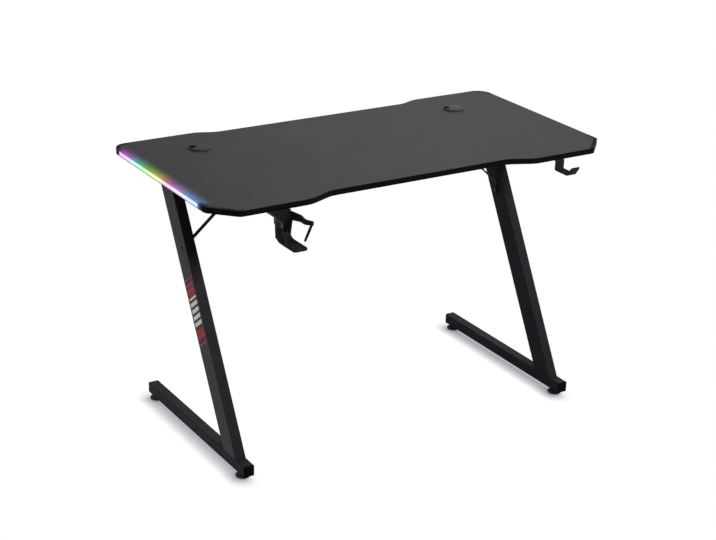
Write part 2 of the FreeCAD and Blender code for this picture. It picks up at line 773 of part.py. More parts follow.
def crossbeams():
    """Make the two crossbeams, their end plates, and the bolts and rivet nuts that join them."""
    plates, bolts, rivet_nuts = [], [], []
    beam_bottom = f"({UNDERSIDE} - beam_height)"
    for end in ("front", "rear"):
        y = f"({TOP_Y} + {end}_beam_y)"
        half_beam = f"({LEG_INNER} - plate_thickness)"
        tube(f"{end}_crossbeam", X_AXIS, y, beam_bottom, "beam_height", f"-{half_beam}", f"(2 * {half_beam})")
        for side, sign in SIDES.items():
            name = f"{end}_{side}"
            plate = block(f"{name}_plate_blank", f"{sign} * ({LEG_INNER} - plate_thickness / 2)", y, BAR_BOTTOM,
                          "plate_thickness", "plate_length", "top_bar_height")
            holes = []
            for rank, way in (("first", -1), ("second", 1)):
                label = f"{name}_{rank}"
                bolt_y = f"{y} + {way} * plate_bolt_spread / 2"
                bolt_z = f"{BAR_BOTTOM} + top_bar_height / 2"
                face = f"{sign} * ({LEG_INNER} - plate_thickness)"
                wall = f"{sign} * {LEG_INNER}"
                bolts.append(screw(
                    f"{label}_bolt", face, bolt_y, bolt_z, "bolt_diameter",
                    "plate_thickness + rivet_nut_length + bolt_end",
                    "bolt_head_diameter", "bolt_head_height", side))
                sleeve = rod(f"{label}_rivet", wall, bolt_y, bolt_z,
                             "rivet_nut_diameter", "rivet_nut_length", side)
                bore = rod(f"{label}_rivet_bore", face, bolt_y, bolt_z, "bolt_diameter",
                           f"plate_thickness + rivet_nut_length + {CUT_MARGIN}", side)
                rivet_nuts.append(cut(f"{label}_rivet_nut", sleeve, bore))
                holes.append(rod(f"{label}_plate_hole", f"{face} - {sign} * {CUT_MARGIN}", bolt_y, bolt_z,
                                 "bolt_diameter + 2 * bolt_clearance",
                                 f"plate_thickness + 2 * {CUT_MARGIN}", side))
                drilled[f"{side}_top_bar"].append(
                    rod(f"{label}_bar_hole", f"{wall} - {sign} * {CUT_MARGIN}", bolt_y, bolt_z,
                        "rivet_nut_diameter", f"tube_wall + 2 * {CUT_MARGIN}", side))
            plates.append(cut(f"{name}_plate", plate, *holes))
    keep(group("plate_group", *plates), "crossbeam_end_plates")
    keep(group("bolt_group", *bolts), "crossbeam_bolts")
    keep(group("rivet_group", *rivet_nuts), "crossbeam_rivet_nuts")


def table_screws():
    """Make the screws that hold the board on the top bars, and the threaded inserts in the board."""
    screws, inserts = [], []
    for side, sign in SIDES.items():
        x = f"{sign} * {LEG_X}"
        for index in range(TABLE_SCREWS_PER_LEG):
            name = f"{side}_table_screw_{index}"
            y = f"{TOP_Y} + table_screw_front + {index} * table_screw_pitch"
            screws.append(screw(name, x, y, BAR_BOTTOM, "bolt_diameter", "top_bar_height + insert_length",
                                "bolt_head_diameter", "bolt_head_height"))
            hull = rod(f"{name}_insert_hull", x, y, UNDERSIDE, "insert_diameter", "insert_length")
            bore = rod(f"{name}_insert_bore", x, y, f"{UNDERSIDE} - {CUT_MARGIN}", "bolt_diameter",
                       f"insert_length + 2 * {CUT_MARGIN}")
            inserts.append(cut(f"{name}_insert", hull, bore))
            drilled["board"].append(hull)
            drilled[f"{side}_top_bar"].append(
                rod(f"{name}_bar_hole", x, y, f"{BAR_BOTTOM} - {CUT_MARGIN}",
                    "bolt_diameter + 2 * bolt_clearance", f"top_bar_height + 2 * {CUT_MARGIN}"))
    keep(group("table_screw_group", *screws), "tabletop_screws")
    keep(group("insert_group", *inserts), "board_inserts")


def braces():
    """Make the two bent strip braces, the bolt through each upright and the screw into the board."""
    bolts, nuts, screws = [], [], []
    rise = f"({UNDERSIDE} - brace_bend_height)"
    slant = f"sqrt(brace_run ^ 2 + {rise} ^ 2)"
    y = f"({upright_front('brace_bolt_height')} + {UPRIGHT_SPAN} / 2)"
    for side, sign in SIDES.items():
        tab_end = "brace_bend_height - brace_tab"
        top_end = f"{LEG_INNER} - brace_run - brace_top_tab"
        low_bend = f"brace_bend_height - brace_thickness * ({slant} - {rise}) / brace_run"
        high_bend = f"{LEG_INNER} - brace_run - brace_thickness * ({slant} - brace_run) / {rise}"
        profile = [
            (LEG_INNER, tab_end), (LEG_INNER, "brace_bend_height"), (f"{LEG_INNER} - brace_run", UNDERSIDE),
            (top_end, UNDERSIDE), (top_end, f"{UNDERSIDE} - brace_thickness"),
            (high_bend, f"{UNDERSIDE} - brace_thickness"), (f"{LEG_INNER} - brace_thickness", low_bend),
            (f"{LEG_INNER} - brace_thickness", tab_end),
        ]
        strip = doc.addObject("PartDesign::Body", f"{side}_brace_body")
        pad(strip, f"{side}_brace_pad", "XZ_Plane", [(f"{sign} * ({x})", z) for x, z in profile],
            "brace_width", f"-({y} + brace_width / 2)")

        inward = "left" if side == "right" else "right"
        leg_face = f"{sign} * ({LEG_INNER} + tube_width)"
        bolts.append(screw(
            f"{side}_brace_bolt", leg_face, y, "brace_bolt_height", "bolt_diameter",
            "tube_width + brace_thickness + bolt_nut_height + bolt_end",
            "bolt_head_diameter", "bolt_head_height", inward))
        nut_face = f"{sign} * ({LEG_INNER} - brace_thickness)"
        nut = hexagon(f"{side}_brace_nut_blank", nut_face, y, "brace_bolt_height",
                      "bolt_nut_across", "bolt_nut_height", inward)
        thread = rod(f"{side}_brace_nut_bore", leg_face, y, "brace_bolt_height", "bolt_diameter",
                     "tube_width + brace_thickness + bolt_nut_height + bolt_end", inward)
        nuts.append(cut(f"{side}_brace_nut", nut, thread))
        hole = rod(f"{side}_brace_bolt_hole", f"{leg_face} + {sign} * {CUT_MARGIN}", y, "brace_bolt_height",
                   "bolt_diameter + 2 * bolt_clearance",
                   f"tube_width + brace_thickness + 2 * {CUT_MARGIN}", inward)
        drilled[f"{side}_upright"].append(hole)
        screw_x = f"{sign} * ({LEG_INNER} - brace_run - brace_top_tab / 2)"
        screw_z = f"{UNDERSIDE} - brace_thickness"
        screws.append(wood_screw(f"{side}_brace_screw", screw_x, y, screw_z, "brace_thickness"))
        screw_hole = wood_screw_hole(f"{side}_brace_screw_hole", screw_x, y, screw_z, "brace_thickness")
        keep(cut(f"{side}_brace_strip", strip, hole, screw_hole), f"{side}_brace")
    keep(group("brace_bolt_group", *bolts), "brace_bolts")
    keep(group("brace_nut_group", *nuts), "brace_nuts")
    keep(group("brace_screw_group", *screws), "brace_screws")


# Things hung on the front edge

SHELL_TOP = f"({UNDERSIDE} - shell_top_drop)"
SHELL_BOTTOM = f"({SHELL_TOP} - shell_height)"
CAN_Y = f"({FRONT} - block_overhang - shell_thickness - shell_radius)"


def holder_block():
    """Make the cup holder's mounting block under the board, with its two screws."""
    block_bottom = f"{UNDERSIDE} - block_height"
    body = doc.addObject("PartDesign::Body", "holder_block_body")
    pad(body, "holder_block_pad", "XZ_Plane", [
        ("holder_x - block_bottom_width / 2", block_bottom), ("holder_x + block_bottom_width / 2", block_bottom),
        ("holder_x + block_top_width / 2", UNDERSIDE), ("holder_x - block_top_width / 2", UNDERSIDE),
    ], "block_overhang + block_depth", f"-({FRONT} + block_depth)")
    screws, holes = [], []
    for name, y in (("front", f"{FRONT} + block_screw_inset"),
                    ("rear", f"{FRONT} + block_depth - block_screw_inset")):
        screws.append(wood_screw(f"holder_{name}_screw", "holder_x", y, block_bottom, "block_height"))
        holes.append(wood_screw_hole(f"holder_{name}_hole", "holder_x", y, block_bottom, "block_height"))
    keep(cut("holder_block_drilled", body, *holes), "cup_holder_block")
    keep(group("holder_screw_group", *screws), "cup_holder_screws")


def holder_back():
    """Return the cradle's back: a curved wall with a rounded top, cut from a tube round the can."""
    length = f"shell_height + 2 * {CUT_MARGIN}"
    outer = rod("shell_outer", "holder_x", CAN_Y, SHELL_BOTTOM, "2 * (shell_radius + shell_thickness)", length)
    inner = rod("shell_inner", "holder_x", CAN_Y, f"{SHELL_BOTTOM} - {CUT_MARGIN}", "2 * shell_radius",
                f"{length} + 2 * {CUT_MARGIN}")
    ring = cut("shell_ring", outer, inner)
    arch = [("holder_x + shell_width / 2", SHELL_TOP), ("holder_x - shell_width / 2", SHELL_TOP)]
    face = doc.addObject("PartDesign::Body", "shell_face")
    pad(face, "shell_face_pad", "XZ_Plane",
        [("holder_x - shell_foot_width / 2", SHELL_BOTTOM), ("holder_x + shell_foot_width / 2", SHELL_BOTTOM)] + arch,
        "block_overhang + shell_thickness + shell_radius", f"-{FRONT}")
    round_edges(face, "shell_arch", "shell_arch_radius", along(Y_AXIS, arch))
    wall = doc.addObject("Part::Common", "shell_wall")
    wall.Base = ring
    wall.Tool = face
    return wall


def holder_claw(side, sign):
    """Return one claw: a tapering band past the can's side, with a finger down from its flared tip."""
    claw_top = f"({SHELL_TOP} + claw_rise)"

    def spot(out, reach):
        return (f"holder_x + {sign} * ({out})", f"{FRONT} - ({reach})")

    root, root_reach = "shell_width / 2", "block_overhang + shell_thickness"
    line = [(root, root_reach), ("claw_bulge", "claw_bulge_reach"),
            ("claw_waist", "claw_waist_reach"), ("claw_flare", "claw_reach")]
    outside = [spot(out, reach) for out, reach in line]
    inside = [spot(f"{out} - claw_thickness", reach) for out, reach in reversed(line)]
    band = doc.addObject("PartDesign::Body", f"{side}_claw_body")
    pad(band, f"{side}_claw_pad", "XY_Plane", outside + inside, "claw_height", f"{claw_top} - claw_height")
    bends = {"wide": [outside[1], inside[1]], "tight": [outside[2], inside[2]]}
    radii = {"wide": "claw_bend_radius", "tight": "claw_bend_radius - claw_thickness"}
    for kind, corners in bends.items():
        round_edges(band, f"{side}_claw_{kind}_bends", radii[kind], along(Z_AXIS, corners))
    far, near = f"{FRONT} - claw_reach - {CUT_MARGIN}", f"{FRONT} - {root_reach}"
    tip_top = f"{claw_top} - claw_tip_drop"
    # Each taper is cut from well past one side of the holder to well past the other.
    taper_start, taper_length = "holder_x + 2 * claw_flare", "4 * claw_flare"
    pocket(band, f"{side}_claw_top_taper", "YZ_Plane",
           [(near, claw_top), (far, tip_top), (far, f"{claw_top} + {CUT_MARGIN}")],
           taper_length, taper_start)
    pocket(band, f"{side}_claw_bottom_taper", "YZ_Plane",
           [(near, f"{claw_top} - claw_height"), (far, f"{claw_top} - claw_height - {CUT_MARGIN}"),
            (far, f"{tip_top} - claw_tip_height")],
           taper_length, taper_start)

    def down(inset, drop):
        return (f"holder_x + {sign} * (claw_flare - ({inset}))", f"{tip_top} - ({drop})")

    finger = doc.addObject("PartDesign::Body", f"{side}_finger_body")
    pad(finger, f"{side}_finger_pad", "XZ_Plane", [
        down(0, "finger_top_drop"), down("finger_knee_inset", "finger_knee_drop"),
        down("finger_end_inset", "finger_end_drop"),
        down("finger_end_inset + finger_end_width", "finger_end_drop - finger_end_width"),
        down("finger_knee_inset + finger_knee_width", "finger_knee_drop - finger_knee_rise"),
        down("finger_width", "finger_top_drop"),
    ], "finger_thickness", f"-({FRONT} - claw_reach + finger_thickness)")
    return band, finger


def holder_heel(name, reach, bottom, radius):
    """Return what fills a square corner behind a quarter round, which runs across the holder's foot."""
    span = f"(shell_width + 2 * {CUT_MARGIN})"
    corner = block(f"{name}_corner", "holder_x", f"{FRONT} - ({reach}) - ({radius}) / 2", bottom, span, radius, radius)
    quarter = rod(f"{name}_quarter", f"holder_x - {span} / 2 - {CUT_MARGIN}", f"{FRONT} - ({reach}) - ({radius})",
                  f"{bottom} + ({radius})", f"2 * ({radius})", f"{span} + 2 * {CUT_MARGIN}", "right")
    return cut(name, corner, quarter)


def holder_foot():
    """Return the cradle's tongue with the fillet that leads from its back wall."""
    start = "block_overhang + shell_thickness / 2"
    left, right = "holder_x - tongue_width / 2", "holder_x + tongue_width / 2"
    back, front = f"{FRONT} - ({start})", f"{FRONT} - tongue_reach"
    tongue = doc.addObject("PartDesign::Body", "tongue_body")
    pad(tongue, "tongue_pad", "XY_Plane",
        [(left, back), (left, f"{front} + tongue_corner"), (f"{left} + tongue_corner", front),
         (f"{right} - tongue_corner", front), (right, f"{front} + tongue_corner"), (right, back)],
        "tongue_thickness", f"{SHELL_BOTTOM} - tongue_thickness / 2")
    fillet = holder_heel("heel_fillet", "block_overhang + shell_thickness",
                         f"{SHELL_BOTTOM} + tongue_thickness / 2", "heel_radius")
    can = rod("heel_can", "holder_x", CAN_Y, SHELL_BOTTOM, "2 * shell_radius + shell_thickness", "shell_height")
    strip = block("heel_strip", "holder_x", CAN_Y, SHELL_BOTTOM, "tongue_width", "2 * shell_radius + shell_thickness",
                  "shell_height")
    heel = doc.addObject("Part::MultiCommon", "heel")
    heel.Shapes = (fillet, can, strip)
    return tongue, heel


def cup_holder():
    """Make the cup holder: the block under the board and the cradle in front of the edge."""
    holder_block()
    boss = block("holder_boss", "holder_x", f"{FRONT} - block_overhang - shell_thickness / 4",
                 f"{UNDERSIDE} - block_height", "boss_width", "shell_thickness / 2", "block_height - shell_top_drop")
    claws = [piece for side, sign in SIDES.items() for piece in holder_claw(side, sign)]
    whole = merge("cradle_whole", boss, holder_back(), *holder_foot(), *claws)
    outer_corner = holder_heel("heel_outside", "block_overhang", f"{SHELL_BOTTOM} - tongue_thickness / 2",
                               "(heel_radius + shell_thickness)")
    keep(cut("cradle", whole, outer_corner), "cup_holder_cradle")


def headphone_hook():
    """Make the headphone hook, one strip bent three times, and its two screws."""
    lip = "hook_thickness * sqrt(hook_lip_rise ^ 2 + hook_lip_lean ^ 2) / hook_lip_rise"
    tray = f"{UNDERSIDE} - hook_drop"
    reach = f"{FRONT} - hook_reach"
    lip_top = f"{tray} + hook_lip_rise"
    lean_per_rise = "hook_lip_lean / hook_lip_rise"
    rear = f"{FRONT} + hook_flange"
    web_back, flange_bottom = f"{FRONT} + hook_thickness", f"{UNDERSIDE} - hook_thickness"
    tray_top = f"{tray} + hook_thickness"
    tray_inner = f"{reach} - hook_thickness * {lean_per_rise} + {lip}"
    inner_bends = [(FRONT, tray_top), (tray_inner, tray_top), (web_back, flange_bottom)]
    outer_bends = [(FRONT, UNDERSIDE), (web_back, tray), (reach, tray)]
    profile = [
        (rear, UNDERSIDE), outer_bends[0], inner_bends[0], inner_bends[1],
        (f"{reach} - hook_lip_lean + {lip}", lip_top), (f"{reach} - hook_lip_lean", lip_top),
        outer_bends[2], outer_bends[1], inner_bends[2], (rear, flange_bottom),
    ]
    strip = doc.addObject("PartDesign::Body", "hook_body")
    pad(strip, "hook_pad", "YZ_Plane", profile, "hook_width", "hook_x - hook_width / 2")
    round_edges(strip, "hook_inner_bends", "hook_bend_radius", along(X_AXIS, inner_bends))
    round_edges(strip, "hook_outer_bends", "hook_bend_radius + hook_thickness", along(X_AXIS, outer_bends))
    screws, holes = [], []
    for index in range(HOOK_SCREWS):
        y = f"{rear} - hook_screw_inset - {index} * hook_screw_pitch"
        screws.append(wood_screw(f"hook_screw_{index}", "hook_x", y, flange_bottom, "hook_thickness"))
        holes.append(wood_screw_hole(f"hook_hole_{index}", "hook_x", y, flange_bottom, "hook_thickness"))
    keep(cut("hook_drilled", strip, *holes), "headphone_hook")
    keep(group("hook_screw_group", *screws), "headphone_hook_screws")


# Light controller

def controller():
    """Make the light controller under the board: base, case, circuit board, button and inlet."""
    x, y = "controller_x", f"({TOP_Y} + controller_y)"
    case_top = f"({UNDERSIDE} - case_base)"
    case_bottom = f"({case_top} - case_height)"
    floor = f"({case_bottom} + case_wall)"
    screws, holes = [], []
    for side, sign in SIDES.items():
        ear_x = f"{x} + {sign} * (case_length + case_ear) / 2"
        screws.append(wood_screw(f"{side}_controller_screw", ear_x, y, case_top, "case_base"))
        holes.append(wood_screw_hole(f"{side}_controller_hole", ear_x, y, case_top, "case_base"))
    base = block("controller_plate", x, y, case_top, "case_length + 2 * case_ear", "case_width", "case_base")
    keep(cut("controller_base_cut", base, *holes), "light_controller_base")
    keep(group("controller_screw_group", *screws), "light_controller_screws")

    button_x = f"{x} + button_offset"
    outside = block("case_outside", x, y, case_bottom, "case_length", "case_width", "case_height")
    inside = block("case_inside", x, y, floor, "case_length - 2 * case_wall", "case_width - 2 * case_wall",
                   f"case_height - case_wall + {CUT_MARGIN}")
    button_hole = rod("case_button_hole", button_x, y, f"{case_bottom} - {CUT_MARGIN}",
                      "button_diameter + 2 * button_fit", f"case_wall + 2 * {CUT_MARGIN}")
    inlet_x, inlet_y = f"{x} + inlet_offset", f"{y} + case_width / 2 - inlet_length / 2"
    inlet_space = block("case_inlet_space", inlet_x, inlet_y, floor, "inlet_width", "inlet_length", "inlet_height")
    shell = cut("case_shell", outside, inside, button_hole, inlet_space)
    bosses = [
        rod(f"case_{side}_boss", f"{x} + {sign} * (case_length / 2 - case_wall - boss_inset)", y, floor,
            "boss_diameter", "circuit_height")
        for side, sign in SIDES.items()
    ]
    keep(merge("case_piece", shell, *bosses), "light_controller_case")

    circuit_bottom = f"({floor} + circuit_height)"
    sheet_size = [f"{size} - 2 * case_wall - 2 * circuit_gap" for size in ("case_length", "case_width")]
    circuit = block("circuit_sheet", x, y, circuit_bottom, *sheet_size, "circuit_thickness")
    switch = block("circuit_switch", button_x, y, f"{circuit_bottom} - switch_height",
                   "switch_width", "switch_width", "switch_height")
    stem_bottom = f"({floor} + button_flange + button_travel + running_gap)"
    stem = rod("circuit_stem", button_x, y, stem_bottom, "switch_stem",
               f"{circuit_bottom} - switch_height - {stem_bottom}")
    clear = block("circuit_inlet_space", inlet_x, inlet_y, floor, "inlet_width", "inlet_length",
                  "inlet_height + circuit_height")
    keep(cut("circuit_piece", merge("circuit_blank", circuit, switch, stem), clear), "controller_circuit_board")

    knob = rod("button_knob", button_x, y, f"{case_bottom} - button_proud", "button_diameter",
               "button_proud + case_wall + button_flange")
    flange = rod("button_rim", button_x, y, floor, "button_diameter + 2 * button_flange_rim", "button_flange")
    keep(merge("button_piece", knob, flange), "light_mode_button")

    inlet_rear = f"{y} + case_width / 2"
    axis_z = f"{floor} + inlet_height / 2"
    hull = block("inlet_hull", inlet_x, inlet_y, floor, "inlet_width", "inlet_length", "inlet_height")
    bore = rod("inlet_hole", inlet_x, f"{inlet_rear} + {CUT_MARGIN}", axis_z, "inlet_bore",
               f"inlet_bore_depth + {CUT_MARGIN}", "front")
    keep(cut("inlet_piece", hull, bore), "power_inlet")


def check(thing):
    """Stop if an object of the document failed or a sub-part has no valid shape."""
    if {"Invalid", "Error"} & set(thing.State):
        raise RuntimeError(f"{thing.Name} failed: {thing.State}")
    if thing in parts and (thing.Shape.isNull() or not thing.Shape.isValid() or not thing.Shape.Solids):
        raise RuntimeError(f"{thing.Label} has no valid shape")


corner_caps()
for edge_side, edge_sign in SIDES.items():
    light_bar(edge_side, edge_sign)
    grommet(edge_side, edge_sign)
levelling_feet()
crossbeams()
table_screws()
braces()
cup_holder()
headphone_hook()
controller()
legs()
tabletop()
doc.recompute()

for document_object in doc.Objects:
    check(document_object)
os.makedirs("parts", exist_ok=True)
for part in parts:
    part.Shape.exportStep(f"parts/{part.Label}.step")
    print(f"{part.Label}: {len(part.Shape.Solids)} solids, {part.Shape.Volume:.1f} mm3")
print(f"{len(parts)} sub-parts")
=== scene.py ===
"""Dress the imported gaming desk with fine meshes, procedural finishes and a plain studio.

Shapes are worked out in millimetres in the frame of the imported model, and put into meshes in metres:
X runs to the right, Y to the rear and Z up from the floor.
"""

import json
import logging
import math
from dataclasses import dataclass, field
from enum import Enum

import bpy
import numpy as np
from mathutils import Matrix, Vector

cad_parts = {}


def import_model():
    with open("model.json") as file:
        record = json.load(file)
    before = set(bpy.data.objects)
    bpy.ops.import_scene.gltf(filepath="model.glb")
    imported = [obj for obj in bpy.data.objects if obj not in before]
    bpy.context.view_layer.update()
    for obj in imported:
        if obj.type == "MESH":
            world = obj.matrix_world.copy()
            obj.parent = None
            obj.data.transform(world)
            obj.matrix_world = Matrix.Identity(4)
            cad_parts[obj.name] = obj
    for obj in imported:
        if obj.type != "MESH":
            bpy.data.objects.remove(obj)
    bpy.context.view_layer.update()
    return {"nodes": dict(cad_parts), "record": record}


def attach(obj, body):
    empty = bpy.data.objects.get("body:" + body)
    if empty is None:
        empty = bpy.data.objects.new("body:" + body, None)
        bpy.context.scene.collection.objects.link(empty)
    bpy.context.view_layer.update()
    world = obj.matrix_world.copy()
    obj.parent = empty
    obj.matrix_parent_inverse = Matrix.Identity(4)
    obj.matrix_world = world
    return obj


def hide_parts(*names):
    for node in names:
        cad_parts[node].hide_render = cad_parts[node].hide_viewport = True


LOG = logging.getLogger("desk")
MM = 0.001
DESK = "desk"
SMOOTH_ANGLE = math.radians(36)

# Bent strips: spacing along them, first angle of an end's rounding, least share of the width, radius of the edges.
STRIP_STEP = 0.8
STRIP_FIRST_ANGLE = 0.2
STRIP_LEAST_SHARE = 0.05
STRIP_EDGE = 0.5

# Angles round a six-sided prism, and how far its end circles pass its flats.
HEXAGON_SECTORS = 48
HEXAGON_LAND = 0.1

# The largest share of a side that one rounded corner may take, and a number that keeps divisors above zero.
LARGEST_CUT = 0.49
TINY = 1e-9

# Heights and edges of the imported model, in millimetres.
UNDERSIDE = 725.0
TOP = 740.0
FRONT = -250.0
BAR_BOTTOM = 700.0
FOOT_TOP = 43.0
LEG_X = 506.0
LEG_OUTER = 521.0
LEG_INNER = 491.0
HALF_WIDTH = 600.0

Colour = tuple[float, float, float]
Point = tuple[float, float, float]


class Side(Enum):
    """A side of the desk, with the sign of its X."""
    LEFT = -1
    RIGHT = 1

    @property
    def word(self) -> str:
        """The side's name as it stands in node names."""
        return self.name.lower()


class End(Enum):
    """An end of a foot bar, with the Y of its levelling foot."""
    FRONT = -206.5
    REAR = 298.5

    @property
    def word(self) -> str:
        """The end's name as it stands in node names."""
        return self.name.lower()


class Ends(Enum):
    """How the first and the last ring of a surface are closed."""
    CAPPED = "each by a flat face"
    JOINED = "by joining them to each other"


class Axis(Enum):
    """The axis along which a plate is thick, as the places of its outline's two numbers and its height."""
    Y = (0, 2, 1)
    Z = (0, 1, 2)


class Drive(Enum):
    """The recess in a screw's head."""
    HEXAGON = "hexagon socket"
    CROSS = "cross recess"


# Surfaces

@dataclass
class Shell:
    """A closed surface: points in millimetres, quads and flat end faces as point numbers."""
    points: np.ndarray
    quads: np.ndarray
    caps: list[np.ndarray] = field(default_factory=list)

    def volume(self) -> float:
        """Work out the volume as a sixth of the sum of a . (b x c) over all triangles.

        Returns:
            The volume, which is negative if the faces point inwards.
        """
        fans = [self.quads[:, [0, 1, 2]], self.quads[:, [0, 2, 3]]]
        fans += [np.stack([np.full(len(cap) - 2, cap[0]), cap[1:-1], cap[2:]], axis=1) for cap in self.caps]
        a, b, c = self.points[np.concatenate(fans)].transpose(1, 0, 2)
        return float(np.einsum("ij,ij->", a, np.cross(b, c)) / 6)

    def outward(self) -> "Shell":
        """Return the shell with its faces pointing outwards."""
        flipped = Shell(self.points, self.quads[:, ::-1], [cap[::-1] for cap in self.caps])
        return self if self.volume() >= 0 else flipped

    def placed(self, where: Point, turn: Matrix | None = None) -> "Shell":
        """Turn the shell about the origin and move it.

        Args:
            where: the place that the origin moves to.
            turn: a rotation, or None to leave the shell unturned.
        Returns:
            The shell in its new place.
        """
        points = self.points if turn is None else self.points @ np.array(turn.to_3x3()).T
        return Shell(points + np.array(where), self.quads, self.caps).outward()


def skin(rings: np.ndarray, ends: Ends = Ends.CAPPED) -> Shell:
    """Close a surface over rings of points: quad (i, j) joins points j and j + 1 of rings i and i + 1.

    Args:
        rings: array of ring, point of the ring and coordinate.
        ends: how the first and last ring are closed.
    Returns:
        The closed shell with its faces outwards.
    """
    count, size = rings.shape[:2]
    index = np.arange(count * size).reshape(count, size)
    joined = ends is Ends.JOINED
    grid = np.concatenate([index, index[:1]]) if joined else index
    after = np.roll(grid, -1, axis=1)
    quads = np.stack([grid[:-1], after[:-1], after[1:], grid[1:]], axis=-1).reshape(-1, 4)
    caps = [] if joined else [index[0][::-1], index[-1]]
    return Shell(rings.reshape(-1, 3), quads, caps).outward()


def full_turn(sectors: int) -> np.ndarray:
    """Return evenly spaced angles round a circle."""
    return np.arange(sectors) * 2 * np.pi / sectors


def lathe(radii: np.ndarray, heights: np.ndarray, sectors: int = 64) -> Shell:
    """Turn an open profile round the Z axis: x = r cos t, y = r sin t, z = h.

    Args:
        radii: one radius per height, or one per height and angle.
        heights: heights along the profile.
        sectors: how many angles make a full turn.
    Returns:
        The shell, with flat faces over its first and last ring.
    """
    angle = full_turn(sectors)
    reach = np.broadcast_to(np.asarray(radii, float).reshape(len(heights), -1), (len(heights), sectors))
    rise = np.broadcast_to(np.asarray(heights, float)[:, None], reach.shape)
    return skin(np.stack([reach * np.cos(angle), reach * np.sin(angle), rise], axis=-1))


def turned(section: np.ndarray, angles: np.ndarray, ends: Ends) -> Shell:
    """Carry a closed section of radius and height round the Z axis: x = r cos t, y = r sin t, z = h.

    Args:
        section: points of the section, radius and height.
        angles: the angles t at which the section stands.
        ends: joined for a full turn, capped for part of one.
    Returns:
        The closed shell.
    """
    reach, rise = section[None, :, 0], section[None, :, 1]
    turn = angles[:, None]
    grid = [reach * np.cos(turn), reach * np.sin(turn), np.broadcast_to(rise, (len(angles), len(section)))]
    return skin(np.stack(grid, axis=-1), ends)


def rounded(corners: np.ndarray | list, radius: float, steps: int = 7, closed: bool = True) -> np.ndarray:
    """Round the corners of a line with circular arcs.

    With A and B at the tangent distance r / tan(half angle) from corner P, a point of the arc is
    ((1-s)^2 A + 2 w s (1-s) P + s^2 B) / ((1-s)^2 + 2 w s (1-s) + s^2), with w = sin(half angle).

    Args:
        corners: corner points in two or three dimensions.
        radius: the arcs' radius, made smaller where a side is too short.
        steps: points per arc.
        closed: whether the line is a loop.
    Returns:
        The points of the rounded line.
    """
    spots = np.asarray(corners, float)
    middle = spots if closed else spots[1:-1]
    before = np.roll(spots, 1, axis=0) if closed else spots[:-2]
    behind = np.roll(spots, -1, axis=0) if closed else spots[2:]
    to_before, to_behind = before - middle, behind - middle
    run_before = np.linalg.norm(to_before, axis=1, keepdims=True)
    run_behind = np.linalg.norm(to_behind, axis=1, keepdims=True)
    to_before, to_behind = to_before / run_before, to_behind / run_behind
    cosine = np.clip(np.sum(to_before * to_behind, axis=1, keepdims=True), -1, 1)
    half = np.arccos(cosine) / 2
    reach = np.minimum(radius / np.tan(half), LARGEST_CUT * np.minimum(run_before, run_behind))
    start, stop = (middle + to_before * reach)[:, None], (middle + to_behind * reach)[:, None]
    s = np.linspace(0, 1, steps)[None, :, None]
    first, mid, last = (1 - s) ** 2, 2 * np.sin(half)[:, None] * s * (1 - s), s ** 2
    arcs = (first * start + mid * middle[:, None] + last * stop) / (first + mid + last)
    line = arcs.reshape(-1, spots.shape[1])
    return line if closed else np.concatenate([spots[:1], line, spots[-1:]])


def rounded_rectangle(width: float, height: float, radius: float, steps: int = 4) -> np.ndarray:
    """Return a rounded rectangle about the origin."""
    x, y = width / 2, height / 2
    return rounded([(-x, -y), (x, -y), (x, y), (-x, y)], radius, steps)


def miters(line: np.ndarray, closed: bool) -> np.ndarray:
    """Return the move of each point for a parallel line one unit to the left: (m + n) / (1 + m . n) of its normals.

    Args:
        line: points in the plane.
        closed: whether the line is a loop.
    Returns:
        One vector per point.
    """
    ahead = np.diff(line, axis=0, append=line[:1])
    normal = np.stack([-ahead[:, 1], ahead[:, 0]], axis=1)
    normal /= np.linalg.norm(normal, axis=1, keepdims=True)
    if not closed:
        normal[-1] = normal[-2]
    earlier = np.roll(normal, 1, axis=0)
    if not closed:
        earlier[0] = normal[0]
    return (earlier + normal) / (1 + np.sum(earlier * normal, axis=1, keepdims=True))


def plate(outline: np.ndarray, low: float, high: float, rim: float, axis: Axis = Axis.Z, steps: int = 5) -> Shell:
    """Thicken an outline between two heights, with quarter-round rims.

    Ring k is the outline drawn in by rim (1 - sin a) at height low + rim (1 - cos a), and likewise at the top.

    Args:
        outline: anticlockwise loop in the plane.
        low: lower height.
        high: upper height.
        rim: radius of both rims.
        axis: the direction of the height.
        steps: rings per rim.
    Returns:
        The closed shell.
    """
    turn = np.linspace(0, np.pi / 2, steps)
    drawn_in = rim * np.concatenate([1 - np.sin(turn), 1 - np.cos(turn)])
    height = np.concatenate([low + rim * (1 - np.cos(turn)), high - rim * (1 - np.sin(turn))])
    flat = outline[None] + drawn_in[:, None, None] * miters(outline, True)[None]
    rise = np.broadcast_to(height[:, None, None], (*flat.shape[:2], 1))
    across, along, up = axis.value
    rings = np.empty((*flat.shape[:2], 3))
    rings[..., [across, along, up]] = np.concatenate([flat, rise], axis=-1)
    return skin(rings)


def stations(path: np.ndarray, spots: np.ndarray) -> np.ndarray:
    """Return the points of a line at given lengths along it, by linear interpolation."""
    length = np.concatenate([[0], np.cumsum(np.linalg.norm(np.diff(path, axis=0), axis=1))])
    return np.stack([np.interp(spots, length, path[:, k]) for k in range(path.shape[1])], axis=1)


def line_length(path: np.ndarray) -> float:
    """Return the length of a line."""
    return float(np.linalg.norm(np.diff(path, axis=0), axis=1).sum())


